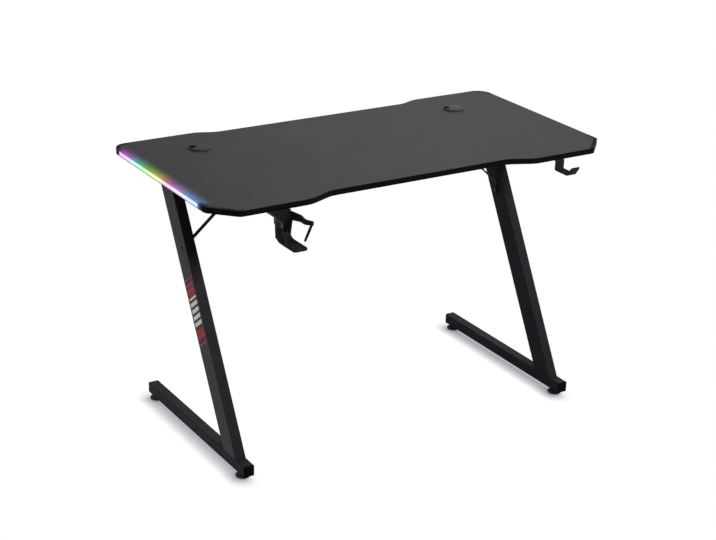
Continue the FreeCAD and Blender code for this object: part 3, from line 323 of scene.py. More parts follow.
def sweep(path: np.ndarray, section: np.ndarray, across: Point, wide: np.ndarray, thick: np.ndarray) -> Shell:
    """Carry a section along a path: p + u wide A + v thick (T x A), with A the given direction and T the tangent.

    Args:
        path: points in space.
        section: loop of points u, v.
        across: the direction A, square to the path.
        wide: scale of u at each point of the path.
        thick: scale of v at each point of the path.
    Returns:
        The closed shell.
    """
    tangent = np.gradient(path, axis=0)
    side = np.asarray(across, float)
    normal = np.cross(tangent, side)
    normal /= np.linalg.norm(normal, axis=1, keepdims=True)
    u, v = section[None, :, :1] * wide[:, None, None], section[None, :, 1:] * thick[:, None, None]
    return skin(path[:, None] + u * side + v * normal[:, None])


def strip(path: np.ndarray, width: float, thickness: float, across: Point, end_radius: float) -> Shell:
    """Bend a flat strip along a path, its corners rounded at both ends.

    At a distance d from an end the half width is w/2 - (r - sqrt(r^2 - (r - d)^2)).

    Args:
        path: the strip's middle line.
        width: width of the strip.
        thickness: thickness of the strip.
        across: direction of the width.
        end_radius: radius r of the corners at the ends.
    Returns:
        The closed shell.
    """
    total = line_length(path)
    ease = end_radius * (1 - np.cos(np.linspace(STRIP_FIRST_ANGLE, np.pi / 2, 9)))
    between = np.arange(end_radius + 1, total - end_radius - 1, STRIP_STEP)
    spots = np.unique(np.concatenate([[0], ease, between, total - ease[::-1], [total]]))
    gap = np.minimum(np.minimum(spots, total - spots), end_radius)
    half = width / 2 - (end_radius - np.sqrt(end_radius ** 2 - (end_radius - gap) ** 2))
    scale = np.maximum(half / (width / 2), STRIP_LEAST_SHARE)
    section = rounded_rectangle(width, thickness, STRIP_EDGE, 3)
    return sweep(stations(path, spots), section, across, scale, np.ones_like(scale))


def facing(direction: Point) -> Matrix:
    """Return the turn that brings +Z to a direction."""
    return Vector(direction).to_track_quat("Z", "Y").to_matrix()


def hexagon_radius(across: float, sectors: int) -> np.ndarray:
    """Return a hexagon's radius at each angle t: half the width across flats over cos((t mod 60) - 30)."""
    return across / 2 / np.cos(full_turn(sectors) % (np.pi / 3) - np.pi / 6)


def hexagon_prism(across: float, low: float, high: float, chamfer: float) -> Shell:
    """Stand a six-sided prism along Z, with its corners turned down to a circle at both ends.

    Args:
        across: width across flats.
        low: lower height.
        high: upper height.
        chamfer: height of the turned part at each end.
    Returns:
        The closed shell.
    """
    hexagon = hexagon_radius(across, HEXAGON_SECTORS)
    trimmed = np.minimum(hexagon, across / 2 + HEXAGON_LAND)
    heights = np.array([low, low + chamfer, high - chamfer, high])
    return lathe(np.stack([trimmed, hexagon, hexagon, trimmed]), heights, HEXAGON_SECTORS)


def cross_radius(reach: float, half_width: float, sectors: int) -> np.ndarray:
    """Work out a cross's radius at each angle: the larger of two crossed rectangles' polar radii.

    Args:
        reach: length of an arm from the middle.
        half_width: half the width of an arm.
        sectors: how many angles make a full turn.
    Returns:
        One radius per angle.
    """
    cosine, sine = np.abs(np.cos(full_turn(sectors))) + TINY, np.abs(np.sin(full_turn(sectors))) + TINY
    level = np.minimum(reach / cosine, half_width / sine)
    upright = np.minimum(half_width / cosine, reach / sine)
    return np.maximum(level, upright)


# Shader nodes

Socket = bpy.types.NodeSocket
Value = Socket | float | tuple


class Tree:
    """A node tree that is filled by short calls."""

    def __init__(self, tree: bpy.types.NodeTree) -> None:
        """Keep the tree that nodes are added to."""
        self.tree = tree

    def add(self, kind: str, inputs: dict[str | int, Value] | None = None, **settings: object) -> bpy.types.Node:
        """Add a node.

        Args:
            kind: the node's type.
            inputs: sockets to link, or values to set, by name or number.
            settings: the node's own properties.
        Returns:
            The new node.
        """
        node = self.tree.nodes.new(kind)
        for name, setting in settings.items():
            setattr(node, name, setting)
        for name, value in (inputs or {}).items():
            if isinstance(value, Socket):
                self.tree.links.new(value, node.inputs[name])
            else:
                node.inputs[name].default_value = value
        return node

    def math(self, operation: str, *values: Value, clamp: bool = False) -> Socket:
        """Return the result of a Math node."""
        return self.add("ShaderNodeMath", dict(enumerate(values)), operation=operation, use_clamp=clamp).outputs[0]

    def weighted(self, share: float, first: Socket, second: Socket) -> Socket:
        """Return a share of one value plus the rest of another."""
        rest = self.math("MULTIPLY", second, 1 - share)
        return self.math("ADD", self.math("MULTIPLY", first, share), rest)

    def ramp(self, value: Value, low: Value, high: Value, start: float = 0.0, stop: float = 1.0) -> Socket:
        """Return a smooth step of a value: start at low, stop at high."""
        inputs = {"Value": value, "From Min": low, "From Max": high, "To Min": start, "To Max": stop}
        return self.add("ShaderNodeMapRange", inputs, interpolation_type="SMOOTHSTEP").outputs["Result"]

    def scaled(self, value: Value, start: float, stop: float) -> Socket:
        """Return a value from 0 to 1 brought to a range."""
        return self.add("ShaderNodeMapRange", {"Value": value, "To Min": start, "To Max": stop}).outputs["Result"]

    def mix(self, factor: Value, first: Value, second: Value) -> Socket:
        """Return one colour mixed with another by a factor."""
        return self.add("ShaderNodeMix", {0: factor, 6: first, 7: second}, data_type="RGBA").outputs[2]

    def split(self, vector: Socket) -> list[Socket]:
        """Return the three numbers of a vector."""
        return list(self.add("ShaderNodeSeparateXYZ", {"Vector": vector}).outputs)

    def noise(self, vector: Socket, scale: Value, detail: float = 2.0) -> Socket:
        """Return the value of a noise texture."""
        return self.add("ShaderNodeTexNoise", {"Vector": vector, "Scale": scale, "Detail": detail}).outputs[0]

    def use(self, group: bpy.types.NodeTree, inputs: dict[str, Value]) -> bpy.types.Node:
        """Add a node group with its inputs."""
        return self.add("ShaderNodeGroup", inputs, node_tree=group)

    def link(self, socket: Socket, node: bpy.types.Node, name: str) -> None:
        """Link a socket to an input of a node."""
        self.tree.links.new(socket, node.inputs[name])


def emptied(holder: bpy.types.Material | bpy.types.World) -> Tree:
    """Return the node tree of a material or a world, with nothing in it.

    Args:
        holder: what the tree belongs to.
    Returns:
        The empty tree.
    """
    holder.use_nodes = True
    holder.node_tree.nodes.clear()
    return Tree(holder.node_tree)


def new_group(name: str, inputs: dict[str, str], outputs: dict[str, str]) -> tuple[Tree, list[Socket]]:
    """Start a shader node group.

    Args:
        name: the group's name.
        inputs: socket types by name.
        outputs: socket types by name.
    Returns:
        The group's tree and the sockets that its inputs come from.
    """
    group = bpy.data.node_groups.new(name, "ShaderNodeTree")
    for way, sockets in (("INPUT", inputs), ("OUTPUT", outputs)):
        for label, kind in sockets.items():
            group.interface.new_socket(name=label, in_out=way, socket_type=f"NodeSocket{kind}")
    return Tree(group), list(group.nodes.new("NodeGroupInput").outputs)


class Effects:
    """The shader node groups that several finishes share."""

    def __init__(self) -> None:
        """Build each group once."""
        self.grain = self.fine_grain()
        self.handling = self.handling_marks()
        self.edge_light = self.light_of_edges()

    @staticmethod
    def fine_grain() -> bpy.types.NodeTree:
        """Build a fine surface grain: a height for bump and a tone that drifts slowly.

        Returns:
            The node group.
        """
        tree, (vector, scale, *_) = new_group(
            "fine_grain", {"Vector": "Vector", "Scale": "Float"}, {"Height": "Float", "Tone": "Float"})
        fine = tree.noise(vector, scale, detail=3.0)
        pits = tree.add("ShaderNodeTexVoronoi", {"Vector": vector, "Scale": scale}).outputs["Distance"]
        drift = tree.noise(vector, tree.math("MULTIPLY", scale, 0.02), detail=4.0)
        height = tree.weighted(0.7, fine, pits)
        tone = tree.weighted(0.45, fine, drift)
        tree.add("NodeGroupOutput", {"Height": height, "Tone": tone})
        return tree.tree

    @staticmethod
    def handling_marks() -> bpy.types.NodeTree:
        """Build the marks of handling: faint smudges, and dust that settles on faces turned upwards.

        Returns:
            The node group.
        """
        tree, (vector, scale, *_) = new_group(
            "handling_marks", {"Vector": "Vector", "Scale": "Float"}, {"Smudge": "Float", "Dust": "Float"})
        smudge = tree.ramp(tree.noise(vector, scale, detail=5.0), low=0.35, high=0.7)
        specks = tree.ramp(tree.noise(vector, tree.math("MULTIPLY", scale, 45.0)), low=0.55, high=0.8)
        up = tree.split(tree.add("ShaderNodeNewGeometry").outputs["Normal"])[2]
        dust = tree.math("MULTIPLY", specks, tree.ramp(up, low=0.6, high=1.0))
        tree.add("NodeGroupOutput", {"Smudge": smudge, "Dust": dust})
        return tree.tree

    @staticmethod
    def light_of_edges() -> bpy.types.NodeTree:
        """Build the light of the edges: their colour along Y, and a painted light spill beside the left one.

        Returns:
            The node group.
        """
        tree, (vector, *_) = new_group(
            "edge_light", {"Vector": "Vector"}, {"Colour": "Color", "Glow": "Float"})
        x, y, _ = tree.split(vector)
        along = tree.add("ShaderNodeMapRange", {
            "Value": y, "From Min": LightBars.rear * MM, "From Max": LightBars.front * MM}).outputs["Result"]
        colours = tree.add("ShaderNodeValToRGB", {"Fac": along})
        colours.color_ramp.interpolation = "LINEAR"
        stops = colours.color_ramp.elements
        for element, (place, colour) in zip([stops[0], stops[1]], [LightBars.colours[0], LightBars.colours[-1]]):
            element.position, element.color = place, (*colour, 1)
        for place, colour in LightBars.colours[1:-1]:
            stops.new(place).color = (*colour, 1)
        # Painted light: a mask for painting the edge's colour onto the surfaces within a few centimetres of the left
        # edge, fading out towards both ends of the bar.
        inward = tree.math("DIVIDE", tree.math("ADD", x, HALF_WIDTH * MM), LightBars.glow_reach * MM)
        near = tree.math("SUBTRACT", 1.0, inward, clamp=True)
        behind = tree.ramp(y, LightBars.rear * MM, (LightBars.rear + LightBars.glow_fade) * MM, 1.0, 0.0)
        before = tree.ramp(y, (LightBars.front - LightBars.glow_fade) * MM, LightBars.front * MM)
        glow = tree.math("MULTIPLY", tree.math("POWER", near, 2.0), tree.math("MULTIPLY", behind, before))
        tree.add("NodeGroupOutput", {"Colour": colours.outputs["Color"], "Glow": glow})
        return tree.tree


# Finishes

# Marks per metre, depth of the grain in metres, and the colour of dust.
MARK_SCALE = 7.0
GRAIN_DEPTH = 0.0004
DUST_COLOUR = (0.5, 0.49, 0.47, 1)


@dataclass(frozen=True)
class Finish:
    """A surface finish with a fine grain and faint marks of handling."""
    name: str
    colour: Colour
    roughness: float
    specular: float = 0.5
    metallic: float = 0.0
    grain: float = 900.0
    relief: float = 0.15
    tone: float = 0.12
    marks: float = 0.06
    dust: float = 0.0

    def material(self, effects: Effects) -> bpy.types.Material:
        """Return the finish's material, made at its first use."""
        known = bpy.data.materials.get(self.name)
        return known or self.made(effects)

    def made(self, effects: Effects) -> bpy.types.Material:
        """Make the material.

        Args:
            effects: the shared node groups.
        Returns:
            The new material.
        """
        material = bpy.data.materials.new(self.name)
        tree = emptied(material)
        shader = tree.add("ShaderNodeBsdfPrincipled", {
            "Metallic": self.metallic, "Specular IOR Level": self.specular})
        tree.add("ShaderNodeOutputMaterial", {"Surface": shader.outputs["BSDF"]})
        place = tree.add("ShaderNodeTexCoord").outputs["Object"]
        grain = tree.use(effects.grain, {"Vector": place, "Scale": self.grain})
        marks = tree.use(effects.handling, {"Vector": place, "Scale": MARK_SCALE})
        dark, light = (tuple(part * (1 + way * self.tone) for part in self.colour) for way in (-1, 1))
        colour = tree.mix(grain.outputs["Tone"], (*dark, 1), (*light, 1))
        if self.dust:
            colour = tree.mix(tree.math("MULTIPLY", marks.outputs["Dust"], self.dust), colour, DUST_COLOUR)
        colour = self.painted(tree, place, colour)
        rough = tree.scaled(marks.outputs["Smudge"], self.roughness + self.marks, self.roughness - self.marks)
        bump = tree.add("ShaderNodeBump", {
            "Strength": self.relief, "Distance": GRAIN_DEPTH, "Height": grain.outputs["Height"]})
        for name, socket in (("Base Color", colour), ("Roughness", rough), ("Normal", bump.outputs["Normal"])):
            tree.link(socket, shader, name)
        self.complete(tree, place, shader, effects)
        return material

    def painted(self, tree: Tree, place: Socket, colour: Socket) -> Socket:
        """Return the colour with what is printed on it; a plain finish has nothing."""
        return colour

    def complete(self, tree: Tree, place: Socket, shader: bpy.types.Node, effects: Effects) -> None:
        """Add the finish's own light or lacquer; a plain finish has none."""


@dataclass(frozen=True)
class PaintedGlowFinish(Finish):
    """A finish that takes a painted light spill from the lit edge beside it, laid on as emission."""
    glow: float = 0.5

    def complete(self, tree: Tree, place: Socket, shader: bpy.types.Node, effects: Effects) -> None:
        """Paint the edge light's colour on as emission where the painted light spill falls.

        Args:
            tree: the material's tree.
            place: Object coordinates.
            shader: the material's shader.
            effects: the shared node groups.
        """
        light = tree.use(effects.edge_light, {"Vector": place})
        # Painted light: emission mixed in by the spill mask, standing in for the light that the lit edge throws on
        # this surface.
        colour = tree.mix(light.outputs["Glow"], (0, 0, 0, 1), light.outputs["Colour"])
        tree.link(colour, shader, "Emission Color")
        shader.inputs["Emission Strength"].default_value = self.glow


@dataclass(frozen=True)
class LitFinish(Finish):
    """Frosted plastic lit from behind in changing colours, palest along its middle."""
    strength: float = 1.0
    pale_middle: float = 0.40
    pale_edge: float = 0.18

    def complete(self, tree: Tree, place: Socket, shader: bpy.types.Node, effects: Effects) -> None:
        """Add the edge light's colour, a little paler towards the middle of the face.

        Args:
            tree: the material's tree.
            place: Object coordinates.
            shader: the material's shader.
            effects: the shared node groups.
        """
        light = tree.use(effects.edge_light, {"Vector": place})
        height = tree.split(place)[2]
        off = tree.math("ABSOLUTE", tree.math("SUBTRACT", height, LightBars.middle * MM))
        pale = tree.ramp(off, 0.0, LightBars.half_height * MM, self.pale_middle, self.pale_edge)
        colour = tree.mix(pale, light.outputs["Colour"], (1, 1, 1, 1))
        tree.link(colour, shader, "Emission Color")
        shader.inputs["Emission Strength"].default_value = self.strength


@dataclass(frozen=True)
class PrintedCoat(Finish):
    """Powder coat with a lacquered outer face, on which slanted bars are printed: white between two red fades."""
    red: Colour = (0.30, 0.012, 0.018)
    white: Colour = (0.62, 0.61, 0.60)
    middle: float = 372.0
    white_reach: float = 38.0
    red_reach: float = 92.0
    gap: float = 3.0
    half_width: float = 25.0
    bar_pitch: float = 15.0
    red_share: float = 0.95
    white_share: float = 0.6
    slant: float = 0.55
    face_depth: float = 0.6
    lacquer: float = 0.18
    lacquer_roughness: float = 0.35

    def outer_face(self, tree: Tree, place: Socket) -> Socket:
        """Return a mask of the upright's outer face."""
        off = tree.math("ABSOLUTE", tree.split(place)[0])
        return tree.math("GREATER_THAN", off, (LEG_OUTER - self.face_depth) * MM)

    def complete(self, tree: Tree, place: Socket, shader: bpy.types.Node, effects: Effects) -> None:
        """Lay a clear lacquer over the outer face.

        Args:
            tree: the material's tree.
            place: Object coordinates.
            shader: the material's shader.
            effects: the shared node groups; not used here.
        """
        weight = tree.math("MULTIPLY", self.outer_face(tree, place), self.lacquer)
        tree.link(weight, shader, "Coat Weight")
        shader.inputs["Coat Roughness"].default_value = self.lacquer_roughness

    def painted(self, tree: Tree, place: Socket, colour: Socket) -> Socket:
        """Print the bars.

        A bar runs where the fraction of (a + slant t) / pitch is under its share, with a up the face from the
        middle of the print and t across the face. The share of the red bars shrinks away from the middle.

        Args:
            tree: the material's tree.
            place: Object coordinates.
            colour: the coat's colour.
        Returns:
            The printed colour.
        """
        _, y, z = tree.split(place)
        up = tree.math("SUBTRACT", z, self.middle * MM)
        leg = Leg()
        line = tree.math("MULTIPLY_ADD", up, leg.lean, leg.middle_at(self.middle) * MM)
        across = tree.math("SUBTRACT", y, line)
        bar = tree.math("MULTIPLY_ADD", across, self.slant, up)
        turn = tree.math("FRACT", tree.math("DIVIDE", bar, self.bar_pitch * MM))
        far = tree.math("ABSOLUTE", bar)
        inside = tree.math("LESS_THAN", tree.math("ABSOLUTE", across), self.half_width * MM)
        field_mask = tree.math("MULTIPLY", self.outer_face(tree, place), inside)
        share = tree.ramp(far, self.white_reach * MM, self.red_reach * MM, self.red_share, 0.0)
        red_bar = tree.math("LESS_THAN", turn, share)
        outer = tree.math("GREATER_THAN", far, self.white_reach * MM)
        white_bar = tree.math("LESS_THAN", turn, self.white_share)
        red_mask = tree.math("MULTIPLY", tree.math("MULTIPLY", red_bar, outer), field_mask)
        near = tree.math("LESS_THAN", far, (self.white_reach - self.gap) * MM)
        white_mask = tree.math("MULTIPLY", tree.math("MULTIPLY", white_bar, near), field_mask)
        printed = tree.mix(red_mask, colour, (*self.red, 1))
        return tree.mix(white_mask, printed, (*self.white, 1))


COAT = dict(colour=(0.0145, 0.0142, 0.0175), roughness=0.5, specular=0.025, grain=1400.0, relief=0.25, tone=0.25)

SLOT_FINISHES: dict[str, Finish] = {
    "board_core": Finish("wrapped_underside", (0.03, 0.03, 0.032), 0.6, 0.3, grain=600.0, tone=0.2),
    # The laminate and the corner plastic carry a painted light spill from the left lit edge.
    "laminate": PaintedGlowFinish("charcoal_laminate", (0.0408, 0.0384, 0.0403), 0.6, 0.02, grain=1100.0, relief=0.3,
                              tone=0.03, marks=0.015, dust=0.01, glow=0.6),
    "edge_band": Finish("edge_band_plastic", (0.004, 0.004, 0.0055), 0.5, 0.012, grain=700.0, tone=0.2),
    "trim": PaintedGlowFinish("corner_plastic", (0.004, 0.004, 0.0055), 0.5, 0.008, grain=900.0, tone=0.15, glow=0.3),
    "diffuser": LitFinish("lit_diffuser", (0.25, 0.25, 0.26), 0.45, 0.3, grain=500.0, relief=0.05, tone=0.03,
                          strength=1.1),
    "channel": Finish("satin_aluminium", (0.5, 0.51, 0.53), 0.36, 0.5, 1.0, grain=1500.0, relief=0.1, tone=0.08),
    "light_strip": Finish("white_light_tape", (0.75, 0.75, 0.72), 0.5, 0.4, grain=300.0, tone=0.05),
    "grommet": Finish("grommet_plastic", (0.045, 0.044, 0.045), 0.55, 0.02, grain=1300.0, relief=0.25, tone=0.15),
    "frame": Finish("powder_coat", **COAT, dust=0.04),
    "fastener": Finish("dark_zinc", (0.045, 0.045, 0.048), 0.4, 0.5, 1.0, grain=1100.0, relief=0.12, tone=0.2),
    "pad": Finish("foot_rubber", (0.012, 0.012, 0.012), 0.7, 0.25, grain=600.0, relief=0.3, tone=0.2),
    "stud": Finish("bright_zinc", (0.6, 0.6, 0.58), 0.3, 0.5, 1.0, grain=1200.0, relief=0.1, tone=0.1),
    "holder": Finish("holder_plastic", (0.011, 0.011, 0.0135), 0.5, 0.03, grain=1000.0, relief=0.12, tone=0.12),
    "case": Finish("case_plastic", (0.02, 0.02, 0.021), 0.55, 0.35, grain=800.0, relief=0.3, tone=0.15),
    "circuit": Finish("circuit_green", (0.012, 0.1, 0.04), 0.35, 0.5, grain=400.0, tone=0.3),
    "button": Finish("button_plastic", (0.3, 0.3, 0.31), 0.5, 0.4, grain=900.0, tone=0.08),
    "inlet": Finish("inlet_plastic", (0.012, 0.012, 0.012), 0.4, 0.45, grain=700.0, tone=0.15),
}


class Workshop:
    """Makes pieces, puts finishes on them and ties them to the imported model."""

    def __init__(self, nodes: dict[str, bpy.types.Object]) -> None:
        """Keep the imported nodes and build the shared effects."""
        self.nodes = nodes
        self.effects = Effects()

    def add(self, name: str, shells: list[Shell], slot: str, stands_for: tuple[str, ...] = (),
            body: str = DESK) -> None:
        """Put shells into one mesh object.

        Args:
            name: the piece's name.
            shells: its closed surfaces, in millimetres.
            slot: the record's material slot, which also picks the finish.
            stands_for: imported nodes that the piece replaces.
            body: the body that it rides on.
        """
        starts = np.cumsum([0] + [len(shell.points) for shell in shells])
        points = np.concatenate([shell.points for shell in shells]) * MM
        faces = []
        for shell, start in zip(shells, starts):
            faces += (shell.quads + start).tolist() + [(cap + start).tolist() for cap in shell.caps]
        mesh = bpy.data.meshes.new(name)
        mesh.from_pydata(points.tolist(), [], faces)
        mesh.shade_smooth()
        mesh.set_sharp_from_angle(angle=SMOOTH_ANGLE)
        mesh.materials.append(SLOT_FINISHES[slot].material(self.effects))
        piece = bpy.data.objects.new(name, mesh)
        bpy.context.scene.collection.objects.link(piece)
        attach(piece, body)
        if stands_for:
            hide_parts(*stands_for)
        LOG.info("%s: %d faces, rides on %s", name, len(faces), body)

    def replace(self, node: str, shells: list[Shell], slot: str, body: str = DESK) -> None:
        """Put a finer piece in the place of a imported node."""
        self.add(f"{node}_piece", shells, slot, (node,), body)

    def finish(self, node: str, finish: Finish) -> None:
        """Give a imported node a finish.

        Args:
            node: the node's name.
            finish: the finish to put on it.
        """
        mesh = self.nodes[node].data
        mesh.materials.clear()
        mesh.materials.append(finish.material(self.effects))
        LOG.info("%s: %s", node, finish.name)


# Sub-assemblies

@dataclass(frozen=True)
class LightBars:
    """The lit edges: where their diffusers run, and the colours along them from rear to front."""
    front: float = -150.0
    rear: float = 298.0
    middle: float = 732.5
    half_height: float = 5.5
    # How far in from the left edge, and over what length at each end of the bar, the painted light spill fades.
    glow_reach: float = 38.0
    glow_fade: float = 24.0
    colours: tuple[tuple[float, Colour], ...] = (
        (0.0, (0.36, 0.02, 0.50)), (0.07, (0.75, 0.08, 0.75)), (0.14, (0.35, 0.25, 0.75)),
        (0.20, (0.05, 0.60, 0.68)), (0.26, (0.06, 0.65, 0.35)), (0.33, (0.08, 0.75, 0.10)),
        (0.42, (0.40, 0.70, 0.05)), (0.51, (0.75, 0.66, 0.04)), (0.58, (0.78, 0.30, 0.25)),
        (0.66, (0.75, 0.12, 0.70)), (0.76, (0.50, 0.30, 0.85)), (0.87, (0.20, 0.42, 0.90)),
        (1.0, (0.15, 0.35, 0.80)),
    )


@dataclass
class Leg:
    """A leaning upright between a foot bar and a top bar, welded at both ends."""
    side: Side = Side.LEFT
    toe: float = -196.5
    run: float = 368.0
    span: float = 68.77
    bead: float = 2.2
    bead_width: float = 27.0
    bead_sink: float = 0.6
    ripple: float = 0.12
    ripple_pitch: float = 2.6
    taper_power: int = 6
    taper_least: float = 0.05

    @property
    def lean(self) -> float:
        """How far the upright leans to the rear per unit of height."""
        return self.run / (BAR_BOTTOM - FOOT_TOP)

    def middle_at(self, height: float) -> float:
        """Return the Y of the upright's middle at a height."""
        return self.toe + self.span / 2 + self.lean * (height - FOOT_TOP)

    def weld(self, y: float, z: float) -> Shell:
        """Return a weld bead along X: a round section whose radius ripples as r (1 + a sin) and tapers at its ends.

        Args:
            y: place of the joint in Y.
            z: place of the joint in Z.
        Returns:
            The bead.
        """
        x = np.linspace(-self.bead_width / 2, self.bead_width / 2, 61)
        taper = np.sqrt(np.clip(1 - (2 * x / self.bead_width) ** self.taper_power, self.taper_least, 1))
        radius = self.bead * (1 + self.ripple * np.sin(2 * np.pi * x / self.ripple_pitch)) * taper
        turn = full_turn(14)
        section = np.stack([np.cos(turn), np.sin(turn)], axis=1)
        path = np.stack([x + self.side.value * LEG_X, np.full_like(x, y), np.full_like(x, z)], axis=1)
        return sweep(path, section, (0, 1, 0), radius, radius)

    def build(self, shop: Workshop) -> None:
        """Weld the leg's joints and print the upright's coat."""
        ends = ((self.toe, FOOT_TOP), (self.toe + self.run, BAR_BOTTOM))
        beads = [self.weld(y, z) for front, z in ends
                 for y in (front - self.bead_sink, front + self.span + self.bead_sink)]
        shop.add(f"{self.side.word}_leg_welds", beads, "frame")
        shop.finish(f"{self.side.word}_upright", PrintedCoat("printed_coat", **COAT))


@dataclass
class Grommet:
    """A cable grommet: a flanged sleeve in the board and a turning cap with a notch for cables."""
    side: Side
    x: float = 405.0
    y: float = 220.0
    tail: float = 722.0
    bore: float = 24.5
    hole: float = 26.5
    flange: float = 31.5
    flange_top: float = 742.0
    cap_bottom: float = 742.2
    cap_top: float = 744.7
    cap_radius: float = 28.5
    cap_rim: float = 1.4
    skirt_bottom: float = 734.2
    skirt_outer: float = 24.2
    skirt_inner: float = 22.2
    notch_half: float = 7.0
    notch_end: float = 12.5
    notch_round: float = 6.4
    notch_angle: float = 152.0
    sleeve_round: float = 0.9
    skirt_round: float = 0.5

    def sleeve(self) -> Shell:
        """Turn a stepped section with small roundings round the hole.

        Returns:
            The sleeve.
        """
        section = rounded([
            (self.bore, self.tail), (self.hole, self.tail), (self.hole, TOP), (self.flange, TOP),
            (self.flange, self.flange_top), (self.bore, self.flange_top)], self.sleeve_round, 5)
        return turned(section, full_turn(96), Ends.JOINED)

    def cap(self) -> list[Shell]:
        """Make the cap: a notched disc with a rounded rim, and a skirt that is open at the notch.

        Returns:
            The disc and the skirt.
        """
        mouth = math.asin(self.notch_half / self.cap_radius)
        angle = np.linspace(mouth, 2 * np.pi - mouth, 120)
        arc = self.cap_radius * np.stack([np.cos(angle), np.sin(angle)], axis=1)
        slot = rounded([arc[-1], (self.notch_end, -self.notch_half), (self.notch_end, self.notch_half), arc[0]],
                       self.notch_round, 9, closed=False)
        disc = plate(np.concatenate([arc, slot[1:-1]]), self.cap_bottom, self.cap_top, self.cap_rim)
        gap = math.asin(self.notch_half / self.skirt_inner)
        section = rounded([
            (self.skirt_inner, self.skirt_bottom), (self.skirt_outer, self.skirt_bottom),
            (self.skirt_outer, self.cap_bottom + self.cap_rim), (self.skirt_inner, self.cap_bottom + self.cap_rim)],
            self.skirt_round, 4)
        skirt = turned(section, np.linspace(gap, 2 * np.pi - gap, 80), Ends.CAPPED)
        turn = Matrix.Rotation(math.radians(self.notch_angle), 3, "Z")
        return [shell.placed((0, 0, 0), turn) for shell in (disc, skirt)]

    def build(self, shop: Workshop) -> None:
        """Add the sleeve and the cap."""
        where = (self.side.value * self.x, self.y, 0)
        sleeve, cap = f"{self.side.word}_grommet_sleeve", f"{self.side.word}_grommet_cap"
        shop.replace(sleeve, [self.sleeve().placed(where)], "grommet")
        shop.replace(cap, [shell.placed(where) for shell in self.cap()], "grommet", cap)


@dataclass
class LevellingFoot:
    """A levelling foot: a rubber pad, and a threaded stud with a six-sided collar."""
    side: Side
    end: End
    pad_profile: tuple[tuple[float, float], ...] = (
        (17.4, 0), (19, 1.4), (19, 4.8), (16.6, 5.9), (11.2, 8.4), (10, 9), (4.08, 9), (4.08, 3.5))
    pad_round: float = 0.7
    stud_radius: float = 4.0
    stud_low: float = 3.7
    stud_high: float = 37.7
    thread_start: float = 13.2
    thread_lead: float = 0.4
    thread_pitch: float = 1.25
    thread_depth: float = 0.6
    collar_low: float = 9.2
    collar_high: float = 12.8
    collar_across: float = 13.0
    collar_chamfer: float = 0.7

    def pad(self) -> Shell:
        """Return the pad, a profile with small roundings turned round the stud."""
        profile = rounded(self.pad_profile, self.pad_round, 4, closed=False)
        return lathe(profile[:, 0], profile[:, 1], 72)

    def stud(self) -> list[Shell]:
        """Make the threaded rod, r = r0 - depth |2 frac(z / pitch - t / 2 pi) - 1|, and its collar.

        Returns:
            The rod and the collar.
        """
        sectors = 48
        height = np.concatenate([[self.stud_low, self.thread_start - self.thread_lead],
                                 np.arange(self.thread_start, self.stud_high, self.thread_pitch / 8)])
        turn = full_turn(sectors)[None] / (2 * np.pi)
        saw = np.abs(2 * ((height[:, None] / self.thread_pitch - turn) % 1) - 1)
        depth = self.thread_depth * np.clip((height - self.thread_start) / self.thread_pitch, 0, 1)
        rod = lathe(self.stud_radius - depth[:, None] * saw, height, sectors)
        return [rod, hexagon_prism(self.collar_across, self.collar_low, self.collar_high, self.collar_chamfer)]

    def build(self, shop: Workshop) -> None:
        """Add the pad and the stud, each on its own body."""
        name = f"{self.end.word}_{self.side.word}"
        where = (self.side.value * LEG_X, self.end.value, 0)
        pad, stud = f"{name}_foot_pad", f"{name}_foot_stud"
        shop.replace(pad, [self.pad().placed(where)], "pad", pad)
        shop.replace(stud, [shell.placed(where) for shell in self.stud()], "stud", stud)


@dataclass(frozen=True)
class Screw:
    """A screw along Z: its head rises from 0, and its shank runs down."""
    shank: float
    head: float
    height: float
    drive: Drive
    reach: float
    depth: float
    sectors: int = 48
    arm_share: float = 0.24
    land: float = 0.3
    side_share: float = 0.3
    undercut: float = 0.2
    tip: float = 0.5
    floor_share: float = 0.8

    def recess(self) -> np.ndarray:
        """Return the recess's radius at each angle."""
        cross = cross_radius(self.reach, self.reach * self.arm_share, self.sectors)
        return hexagon_radius(2 * self.reach, self.sectors) if self.drive is Drive.HEXAGON else cross

    def shell(self, length: float) -> Shell:
        """Return the screw: shank, domed head as a quarter ellipse, and the recess in its top.

        Args:
            length: length of the shank.
        Returns:
            The closed shell.
        """
        recess = self.recess()
        flat = recess.max() + self.land
        side = self.side_share * self.height
        turn = np.linspace(0, np.pi / 2, 6)
        dome = flat + (self.head - flat) * np.cos(turn)
        radii = [self.shank - self.tip, self.shank, self.shank, self.head - self.undercut, *dome]
        heights = [-length, self.tip - length, 0, 0, *(side + (self.height - side) * np.sin(turn))]
        rows = [np.full(self.sectors, radius) for radius in radii] + [recess, recess * self.floor_share]
        return lathe(np.stack(rows), np.array([*heights, self.height, self.height - self.depth]), self.sectors)


BOLT = Screw(3.0, 5.25, 3.3, Drive.HEXAGON, 2.0, 1.9)
WOOD_SCREW = Screw(2.0, 4.0, 2.4, Drive.CROSS, 2.3, 1.3, 96)
DOWN = (0.0, 0.0, -1.0)


@dataclass
class Fasteners:
    """All screws of one node: where their heads bear, and the ways that the heads face if not down."""
    node: str
    screw: Screw
    length: float
    places: list[Point]
    faces: list[Point] = field(default_factory=list)

    def build(self, shop: Workshop) -> None:
        """Add the screws as one piece."""
        blank = self.screw.shell(self.length)
        faces = self.faces or [DOWN] * len(self.places)
        shells = [blank.placed(where, facing(way)) for where, way in zip(self.places, faces)]
        shop.replace(self.node, shells, "fastener")


